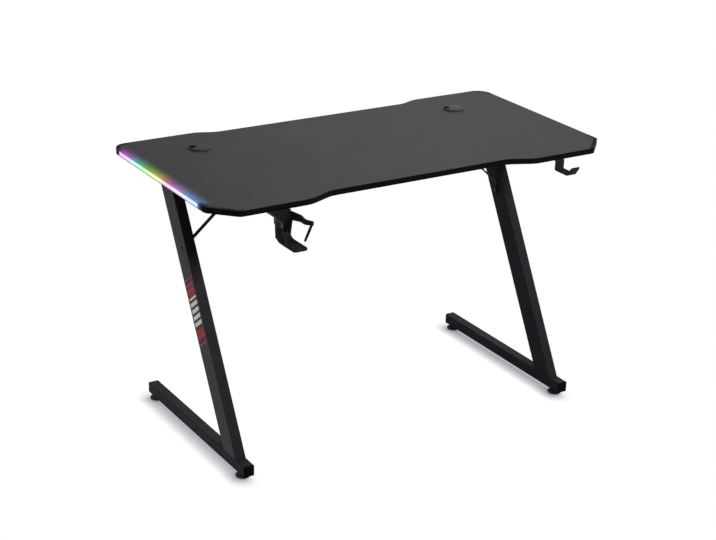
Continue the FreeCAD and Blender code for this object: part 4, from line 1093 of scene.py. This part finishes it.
@dataclass
class UnderFrame:
    """The crossbeams' bolts and the screws that hold the board."""
    beam_lines: tuple[float, float] = (-70.0, 148.0)
    bolt_spread: float = 46.0
    plate_face: float = 488.0
    bolt_height: float = 712.5
    bolt_length: float = 15.0
    table_screw_lines: tuple[float, float, float] = (-140.0, 2.0, 144.0)
    table_screw_length: float = 36.0

    def build(self, shop: Workshop) -> None:
        """Add the bolts and the screws."""
        bolts = [(side.value * self.plate_face, line + way * self.bolt_spread / 2, self.bolt_height)
                 for line in self.beam_lines for side in Side for way in (-1, 1)]
        bolt_ways = [(-math.copysign(1, x), 0, 0) for x, _, _ in bolts]
        board = [(side.value * LEG_X, y, BAR_BOTTOM) for side in Side for y in self.table_screw_lines]
        Fasteners("crossbeam_bolts", BOLT, self.bolt_length, bolts, bolt_ways).build(shop)
        Fasteners("tabletop_screws", BOLT, self.table_screw_length, board).build(shop)


@dataclass
class Braces:
    """The bent strips from the uprights to the board, with their bolts, nuts and screws."""
    y: float = 105.06
    width: float = 12.0
    thickness: float = 3.0
    tab_end: float = 504.0
    bend: float = 542.0
    bolt: float = 520.0
    run: float = 211.0
    top_tab: float = 32.0
    bend_radius: float = 7.0
    end_land: float = 0.1
    nut_across: float = 10.0
    nut_height: float = 5.0
    nut_chamfer: float = 0.6
    bolt_length: float = 40.0
    screw_length: float = 14.0

    def strip(self, side: Side) -> Shell:
        """Bend one strip: its middle line is the outer line moved in by half the thickness, with round bends.

        Args:
            side: the side of the desk.
        Returns:
            The strip.
        """
        outer = np.array([(LEG_INNER, self.tab_end), (LEG_INNER, self.bend), (LEG_INNER - self.run, UNDERSIDE),
                          (LEG_INNER - self.run - self.top_tab, UNDERSIDE)])
        middle = outer + self.thickness / 2 * miters(outer, False)
        line = rounded(middle, self.bend_radius, 9, closed=False)
        path = np.stack([side.value * line[:, 0], np.full(len(line), self.y), line[:, 1]], axis=1)
        return strip(path, self.width, self.thickness, (0, 1, 0), self.width / 2 - self.end_land)

    def build(self, shop: Workshop) -> None:
        """Add both strips and what holds them."""
        for side in Side:
            shop.replace(f"{side.word}_brace", [self.strip(side)], "frame")
        outward = [(side.value, 0, 0) for side in Side]
        inward = [(-side.value, 0, 0) for side in Side]
        heads = [(side.value * LEG_OUTER, self.y, self.bolt) for side in Side]
        Fasteners("brace_bolts", BOLT, self.bolt_length, heads, outward).build(shop)
        nut = hexagon_prism(self.nut_across, 0.0, self.nut_height, self.nut_chamfer)
        nuts = [nut.placed((side.value * (LEG_INNER - self.thickness), self.y, self.bolt), facing(way))
                for side, way in zip(Side, inward)]
        shop.replace("brace_nuts", nuts, "fastener")
        reach = LEG_INNER - self.run - self.top_tab / 2
        ends = [(side.value * reach, self.y, UNDERSIDE - self.thickness) for side in Side]
        Fasteners("brace_screws", WOOD_SCREW, self.screw_length, ends).build(shop)


@dataclass
class CupHolder:
    """The cup holder: a block under the board, and a cradle of back, tongue and two claws in front of it."""
    x: float = -427.5
    block_top: float = 54.0
    block_bottom: float = 34.0
    block_low: float = 707.0
    block_front: float = -255.0
    block_rear: float = -204.0
    block_round: float = 2.0
    block_rim: float = 1.2
    boss_width: float = 24.0
    boss_depth: float = 2.0
    boss_round: float = 0.5
    boss_rim: float = 0.4
    shell_top: float = 719.0
    shell_low: float = 655.0
    shell_half: float = 25.0
    shell_foot_half: float = 20.0
    shell_radius: float = 36.0
    shell_thickness: float = 4.0
    arch: float = 16.0
    arch_share: float = 0.999
    can_y: float = -295.0
    ribs: int = 5
    rib_depth: float = 1.5
    rib_top: float = 692.0
    rib_fade: float = 6.0
    heel_radius: float = 22.0
    tongue_half: float = 20.0
    tongue_low: float = 652.0
    tongue_high: float = 658.0
    tongue_front: float = -350.0
    tongue_corner: float = 9.0
    tongue_rim: float = 1.6
    claw_line: tuple[tuple[float, float], ...] = ((21.5, -256), (25, -259), (36, -288), (33, -312), (46, -329))
    claw_bend: float = 18.0
    claw_top: float = 722.0
    claw_height: float = 23.0
    tip_height: float = 10.0
    tip_drop: float = 8.0
    claw_thickness: float = 4.0
    claw_round: float = 0.12
    finger_line: tuple[tuple[float, float], ...] = ((43.6, 712.0), (31.75, 686.2), (22.2, 666.3))
    finger_widths: tuple[float, ...] = (3.8, 5.4, 5.4, 3.4)
    finger_y: float = -326.5
    finger_depth: float = 5.0
    finger_bend: float = 9.0
    finger_tip: float = 0.7
    finger_round: float = 0.3
    screw_lines: tuple[float, float] = (-239.0, -215.0)
    screw_length: float = 29.0

    def block(self) -> Shell:
        """Carry a rounded trapezium along Y.

        Returns:
            The mounting block.
        """
        low, high = self.block_bottom / 2, self.block_top / 2
        outline = rounded([(self.x - low, self.block_low), (self.x + low, self.block_low),
                           (self.x + high, UNDERSIDE), (self.x - high, UNDERSIDE)], self.block_round, 5)
        return plate(outline, self.block_front, self.block_rear, self.block_rim, Axis.Y)

    @property
    def heel_y(self) -> float:
        """The Y of the axis of the bend between back and tongue."""
        return self.can_y + self.shell_radius - self.heel_radius

    def heel_height(self, y: np.ndarray, radius: float, axis: float) -> np.ndarray:
        """Return the height of the bend's quarter round at each Y: axis - sqrt(r^2 - (y - heel_y)^2)."""
        return axis - np.sqrt(np.clip(radius ** 2 - (y - self.heel_y) ** 2, 0, None))

    def back(self) -> Shell:
        """Return the back: a wall on a circle round the can, with an arched top, a rounded lip and vertical ribs.

        Station u is the share of the wall's half width, which shrinks from top to foot, so the angle round the can
        at height z is asin(u w(z) / r). The section runs from the bend's outer round up to
        z = top - (r - sqrt(r^2 - d^2)), with d how far the station lies into a corner of radius r. Ribs move the
        inner radius by depth cos^2(n u) below their top.

        Returns:
            The closed shell.
        """
        half, outside = self.shell_thickness / 2, self.shell_radius + self.shell_thickness
        middle = self.shell_radius + half
        station = np.linspace(-1, 1, 121)
        past = np.abs(station) * self.shell_half - (self.shell_half - self.arch)
        into = np.clip(past, 0, self.arch * self.arch_share)
        top = self.shell_top - (self.arch - np.sqrt(self.arch ** 2 - into ** 2))
        cosine = np.sqrt(1 - (station * self.shell_foot_half / middle) ** 2)
        bend = self.heel_radius + self.shell_thickness
        low = [self.heel_height(self.can_y + radius * cosine, bend, self.tongue_low + bend)
               for radius in (self.shell_radius, outside)]
        share = np.linspace(0, 1, 41)[None]
        inner, outer = [foot[:, None] + (top[:, None] - half - foot[:, None]) * share for foot in low]
        turn = np.linspace(0, np.pi, 9)[None, 1:-1]
        lip_radius = np.broadcast_to(middle - half * np.cos(turn), (len(station), turn.size))
        lip_height = top[:, None] - half + half * np.sin(turn)
        fade = np.clip((self.rib_top - inner) / self.rib_fade, 0, 1)
        ribs = self.rib_depth * np.cos(self.ribs * np.pi * station / 2)[:, None] ** 2 * fade
        reach = np.concatenate([self.shell_radius - ribs, lip_radius, np.full_like(outer, outside)], axis=1)
        rise = np.concatenate([inner, lip_height, outer[:, ::-1]], axis=1)
        foot_share = (rise - self.shell_low) / (self.shell_top - self.shell_low)
        wide = self.shell_foot_half + (self.shell_half - self.shell_foot_half) * foot_share
        angle = np.arcsin(station[:, None] * wide / middle)
        return skin(np.stack([self.x + reach * np.sin(angle), self.can_y + reach * np.cos(angle), rise], axis=-1))

    def tongue(self) -> Shell:
        """Return the tongue with the bend that leads up into the back.

        Station x has a section of two lines: the inner one is a quarter round of radius r from the back's middle
        down to the tongue's face, the outer one a quarter round of radius r + t down to its underside. Towards the
        sides and the tip both are drawn together by a rim, and the tip is set back by c - sqrt(c^2 - d^2) at a
        distance d into a corner of radius c.

        Returns:
            The closed shell.
        """
        half, rim, corner = self.tongue_half, self.tongue_rim, self.tongue_corner
        edge = half - rim + rim * np.cos(np.linspace(0, np.pi / 2, 6))
        station = np.concatenate([-edge, np.linspace(-half + rim + 1, half - rim - 1, 35), edge[::-1]])
        drawn = rim * (1 - np.sqrt(1 - np.clip((np.abs(station) - half + rim) / rim, 0, 1) ** 2))
        wall = self.can_y + np.sqrt((self.shell_radius + self.shell_thickness / 2) ** 2 - station ** 2)
        into = np.clip(np.abs(station) - (half - corner), 0, corner)
        tip = self.tongue_front + corner - np.sqrt(corner ** 2 - into ** 2)
        lines = []
        for radius, face, way in ((self.heel_radius, self.tongue_high, -1),
                                  (self.heel_radius + self.shell_thickness, self.tongue_low, 1)):
            axis = face + radius
            start = np.minimum(wall, self.heel_y + radius)
            first = np.arcsin(np.clip((start - self.heel_y) / radius, 0, 1))
            turn = first[:, None] * np.linspace(1, 0, 18)[None]
            round_y = self.heel_y + radius * np.sin(turn)
            round_z = axis - radius * np.cos(turn)
            shares = np.linspace(0, 1, 14)[None, 1:]
            flat_y = self.heel_y + (tip[:, None] + rim - self.heel_y) * shares
            nose = np.linspace(0, np.pi / 2, 6)[None, 1:]
            y = np.concatenate([round_y, flat_y, tip[:, None] + rim * (1 - np.sin(nose))], axis=1)
            level = np.full_like(flat_y, axis - radius)
            nose_z = np.broadcast_to(axis - radius + way * rim * (1 - np.cos(nose)), (len(station), nose.size))
            z = np.concatenate([round_z, level, nose_z], axis=1) + way * drawn[:, None]
            lines.append(np.stack([np.broadcast_to(self.x + station[:, None], y.shape), y, z], axis=-1))
        return skin(np.concatenate([lines[0], lines[1][:, ::-1]], axis=1))

    def claw(self, side: Side) -> list[Shell]:
        """Return one claw: a band round the can that gets lower towards its tip, and a finger down from the tip.

        Args:
            side: the side of the can.
        Returns:
            The band and the finger.
        """
        line = rounded(np.array(self.claw_line), self.claw_bend, 12, closed=False)
        plan = stations(line, np.linspace(0, line_length(line), 90))
        share = np.linspace(0, 1, len(plan))
        height = self.claw_height + (self.tip_height - self.claw_height) * share
        centre = self.claw_top - self.tip_drop * share - height / 2
        path = np.stack([self.x + side.value * (plan[:, 0] - self.claw_thickness / 2), plan[:, 1], centre], axis=1)
        band = sweep(path, rounded_rectangle(1.0, self.claw_thickness, self.claw_round, 4), (0, 0, 1), height,
                     np.ones_like(height))
        bone = rounded(np.array(self.finger_line), self.finger_bend, 10, closed=False)
        bone = stations(bone, np.linspace(0, line_length(bone), 60))
        spine = np.stack([self.x + side.value * bone[:, 0], np.full(len(bone), self.finger_y), bone[:, 1]], axis=1)
        slim = np.interp(np.linspace(0, 1, len(bone)), np.linspace(0, 1, len(self.finger_widths)), self.finger_widths)
        wide = np.ones(len(bone))
        wide[-1], slim[-1] = self.finger_tip, slim[-1] * self.finger_tip
        finger = sweep(spine, rounded_rectangle(self.finger_depth, 1.0, self.finger_round, 4), (0, 1, 0), wide, slim)
        return [band, finger]

    def build(self, shop: Workshop) -> None:
        """Add the block with its screws, and the cradle."""
        shop.replace("cup_holder_block", [self.block()], "holder")
        boss_outline = rounded_rectangle(self.boss_width, self.boss_depth, self.boss_round)
        boss_outline += np.array([self.x, self.block_front - self.boss_depth / 2])
        boss = plate(boss_outline, self.block_low, self.shell_top - self.boss_rim, self.boss_rim)
        claws = [shell for side in Side for shell in self.claw(side)]
        shop.replace("cup_holder_cradle", [self.back(), self.tongue(), boss, *claws], "holder")
        places = [(self.x, y, self.block_low) for y in self.screw_lines]
        Fasteners("cup_holder_screws", WOOD_SCREW, self.screw_length, places).build(shop)


@dataclass
class HeadphoneHook:
    """The headphone hook: one strip bent three times, and its two screws."""
    x: float = 422.0
    width: float = 29.0
    thickness: float = 3.0
    flange: float = 48.0
    drop: float = 29.0
    reach: float = 50.0
    rise: float = 25.0
    lean: float = 17.0
    bend_radius: float = 3.5
    corner: float = 4.0
    screw_lines: tuple[float, float] = (-214.0, -236.0)
    screw_length: float = 14.0

    def strip(self) -> Shell:
        """Bend the strip along its outer line, moved in by half its thickness, with round bends.

        Returns:
            The strip.
        """
        tray = UNDERSIDE - self.drop
        web, half = FRONT + self.thickness / 2, self.thickness / 2
        foot = FRONT - self.reach
        across = half * math.hypot(self.rise, self.lean) / self.rise
        lean = self.lean / self.rise
        line = np.array([
            (FRONT + self.flange, UNDERSIDE - half), (web, UNDERSIDE - half), (web, tray + half),
            (foot - half * lean + across, tray + half), (foot - self.lean + across, tray + self.rise)])
        bent = rounded(line, self.bend_radius, 9, closed=False)
        path = np.stack([np.full(len(bent), self.x), bent[:, 0], bent[:, 1]], axis=1)
        return strip(path, self.width, self.thickness, (1, 0, 0), self.corner)

    def build(self, shop: Workshop) -> None:
        """Add the strip and its screws."""
        shop.replace("headphone_hook", [self.strip()], "frame")
        places = [(self.x, y, UNDERSIDE - self.thickness) for y in self.screw_lines]
        Fasteners("headphone_hook_screws", WOOD_SCREW, self.screw_length, places).build(shop)


@dataclass
class LightController:
    """The light controller under the board: its button, the pin in its power inlet, and its screws."""
    x: float = -200.0
    y: float = 265.0
    button_x: float = -216.0
    button_low: float = 703.2
    button_top: float = 708.2
    button_radius: float = 6.0
    button_flange: float = 7.5
    rim_radii: tuple[float, float] = (5.5, 5.9)
    rim_heights: tuple[float, float] = (0.3, 0.9)
    dish_depth: float = 0.5
    dish_start: float = 0.15
    dish_share: float = 0.82
    case_floor: float = 707.0
    case_gap: float = 0.02
    inlet: Point = (-186.0, 277.5, 711.5)
    pin_radius: float = 1.05
    pin_length: float = 8.0
    pin_round: float = 0.9
    screw_spread: float = 44.0
    screw_height: float = 723.0
    screw_length: float = 13.0

    def button(self) -> Shell:
        """Turn the button: a dished face, a rounded rim and the flange that keeps it in the case.

        Returns:
            The button.
        """
        dish = np.linspace(self.dish_start, self.dish_share, 6)
        radii = [*(dish * self.button_radius), *self.rim_radii, self.button_radius, self.button_radius,
                 self.button_flange, self.button_flange]
        depth = self.dish_depth * (1 - (dish / self.dish_share) ** 2)
        rim = [self.button_low + rise for rise in (0, *self.rim_heights)]
        seat = self.case_floor + self.case_gap
        heights = [*(self.button_low + depth), *rim, seat, seat, self.button_top]
        return lathe(np.array(radii), np.array(heights), 56)

    def pin(self) -> Shell:
        """Turn the inlet's contact pin, a rod along Z with a rounded end.

        Returns:
            The pin.
        """
        turn = np.linspace(0, np.pi / 2 * self.pin_round, 6)
        radii = np.concatenate([[self.pin_radius], self.pin_radius * np.cos(turn)])
        heights = np.concatenate([[0], self.pin_length - self.pin_radius + self.pin_radius * np.sin(turn)])
        return lathe(radii, heights, 24)

    def build(self, shop: Workshop) -> None:
        """Add the button on its own body, the pin and the screws."""
        button = self.button().placed((self.button_x, self.y, 0))
        shop.replace("light_mode_button", [button], "button", "light_mode_button")
        shop.add("power_inlet_pin", [self.pin().placed(self.inlet, facing((0, 1, 0)))], "stud")
        places = [(self.x + way * self.screw_spread, self.y, self.screw_height) for way in (-1, 1)]
        Fasteners("light_controller_screws", WOOD_SCREW, self.screw_length, places).build(shop)


# Studio

@dataclass(frozen=True)
class Lamp:
    """A square soft lamp: its place and aim in metres, the length of its side and its power in watts."""
    name: str
    place: Point
    aim: Point
    size: float
    power: float

    def hang(self) -> None:
        """Add the lamp to the scene, unseen by the camera."""
        light = bpy.data.lights.new(self.name, "AREA")
        light.size, light.energy = self.size, self.power
        lamp = bpy.data.objects.new(self.name, light)
        lamp.location = self.place
        lamp.rotation_mode = "QUATERNION"
        lamp.rotation_quaternion = (Vector(self.aim) - Vector(self.place)).to_track_quat("-Z", "Y")
        lamp.visible_camera = False
        bpy.context.scene.collection.objects.link(lamp)


@dataclass
class Studio:
    """A pale floor, soft lamps and a camera where the photograph was taken from."""
    camera_place: Point = (-2.26647, -3.47013, 2.08047)
    yaw: float = 0.57045
    pitch: float = 0.40399
    roll: float = 0.03234
    focal_pixels: float = 1644.64
    rise_pixels: float = 30.0
    frame_width: float = 716.0
    sensor: float = 36.0
    clip: tuple[float, float] = (0.1, 60.0)
    world_level: float = 0.15
    floor_radius: float = 14.0
    floor_bounce: float = 0.3
    floor_gap: float = 0.0003
    shade: Colour = (0.0, 0.0, 0.08)
    shade_reach: float = 0.040
    shade_samples: int = 32
    shade_span: float = 0.5
    shade_gain: tuple[float, float] = (1.0, 1.1)
    light_way: Point = (0.71, 0.0, 0.71)
    lamps: tuple[Lamp, ...] = (
        Lamp("key_lamp", (1.75, -2.8, 3.0), (0, 0, 0.5), 0.9, 175.0),
        Lamp("top_lamp", (0.9, 1.3, 2.0), (0, 0, 0.7), 1.4, 26.0),
        Lamp("side_lamp", (-2.6, -0.3, 0.55), (-0.5, 0, 0.4), 1.0, 22.0),
    )

    @staticmethod
    def seen_white(tree: Tree) -> Socket:
        """Mark the rays that see the background as white.

        Args:
            tree: the tree that the mask is for.
        Returns:
            The mask.
        """
        path = tree.add("ShaderNodeLightPath")
        rays = tree.math("MAXIMUM", path.outputs["Is Camera Ray"], path.outputs["Is Glossy Ray"])
        return tree.math("MAXIMUM", rays, path.outputs["Is Transmission Ray"])

    def world(self) -> None:
        """Light the scene evenly, with a white background for the camera and for reflections."""
        world = bpy.data.worlds.new("studio")
        bpy.context.scene.world = world
        tree = emptied(world)
        even = tree.add("ShaderNodeBackground", {"Color": (1, 1, 1, 1), "Strength": self.world_level})
        white = tree.add("ShaderNodeBackground", {"Color": (1, 1, 1, 1), "Strength": 1.0})
        mixed = tree.add("ShaderNodeMixShader", {
            0: self.seen_white(tree), 1: even.outputs[0], 2: white.outputs[0]})
        tree.add("ShaderNodeOutputWorld", {"Surface": mixed.outputs[0]})

    def floor(self) -> None:
        """Lay a round floor that takes the shadow close to what stands on it.

        It shows the white of the background elsewhere, and it is clear from below. A foot that is screwed out
        stays in sight, because the desk keeps its place.
        """
        turn = full_turn(96)
        ring = np.stack([self.floor_radius * np.cos(turn), self.floor_radius * np.sin(turn),
                         np.full_like(turn, -self.floor_gap)], axis=1)
        mesh = bpy.data.meshes.new("studio_floor")
        mesh.from_pydata(ring.tolist(), [], [list(range(len(ring)))])
        material = bpy.data.materials.new("studio_floor")
        tree = emptied(material)
        matt = tree.add("ShaderNodeBsdfDiffuse", {"Color": (*[self.floor_bounce] * 3, 1)})
        way = tree.add("ShaderNodeCombineXYZ", dict(enumerate(self.light_way))).outputs[0]
        free = tree.add("ShaderNodeAmbientOcclusion", {"Distance": self.shade_reach, "Normal": way},
                        samples=self.shade_samples).outputs["AO"]
        x = tree.split(tree.add("ShaderNodeTexCoord").outputs["Object"])[0]
        gain = tree.ramp(x, -self.shade_span, self.shade_span, *self.shade_gain)
        shade = tree.math("MULTIPLY", tree.math("SUBTRACT", 1.0, free), gain, clamp=True)
        colour = tree.mix(shade, (1, 1, 1, 1), (*self.shade, 1))
        seen = tree.add("ShaderNodeBsdfTransparent", {"Color": colour})
        mixed = tree.add("ShaderNodeMixShader", {0: self.seen_white(tree), 1: matt.outputs[0], 2: seen.outputs[0]})
        below = tree.add("ShaderNodeNewGeometry").outputs["Backfacing"]
        clear = tree.add("ShaderNodeBsdfTransparent")
        shown = tree.add("ShaderNodeMixShader", {0: below, 1: mixed.outputs[0], 2: clear.outputs[0]})
        tree.add("ShaderNodeOutputMaterial", {"Surface": shown.outputs[0]})
        mesh.materials.append(material)
        floor = bpy.data.objects.new("studio_floor", mesh)
        bpy.context.scene.collection.objects.link(floor)

    def camera(self) -> None:
        """Set up the camera from its yaw, pitch and roll."""
        ahead = Vector((math.sin(self.yaw) * math.cos(self.pitch), math.cos(self.yaw) * math.cos(self.pitch),
                        -math.sin(self.pitch)))
        level = Vector((math.cos(self.yaw), -math.sin(self.yaw), 0))
        above = level.cross(ahead)
        right = math.cos(self.roll) * level + math.sin(self.roll) * above
        up = math.cos(self.roll) * above - math.sin(self.roll) * level
        data = bpy.data.cameras.new("photo_camera")
        data.sensor_width = self.sensor
        data.lens = self.focal_pixels * self.sensor / self.frame_width
        data.shift_y = self.rise_pixels / self.frame_width
        data.clip_start, data.clip_end = self.clip
        camera = bpy.data.objects.new("photo_camera", data)
        axes = Matrix((right, up, -ahead)).transposed().to_4x4()
        camera.matrix_world = Matrix.Translation(self.camera_place) @ axes
        bpy.context.scene.collection.objects.link(camera)
        bpy.context.scene.camera = camera

    def build(self) -> None:
        """Set the look of the picture and build the studio."""
        bpy.context.scene.view_settings.view_transform = "Standard"
        self.world()
        self.floor()
        for lamp in self.lamps:
            lamp.hang()
        self.camera()


def main() -> None:
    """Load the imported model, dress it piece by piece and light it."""
    logging.basicConfig(level=logging.INFO, format="%(message)s")
    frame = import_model()
    shop = Workshop(frame["nodes"])
    for subpart in frame["record"]["subparts"]:
        shop.finish(subpart["node"], SLOT_FINISHES[subpart["material_slot"]])
    pieces = [Leg(side) for side in Side] + [Grommet(side) for side in Side]
    pieces += [LevellingFoot(side, end) for end in End for side in Side]
    pieces += [UnderFrame(), Braces(), CupHolder(), HeadphoneHook(), LightController()]
    for piece in pieces:
        piece.build(shop)
    Studio().build()


if __name__ == "__main__":
    main()
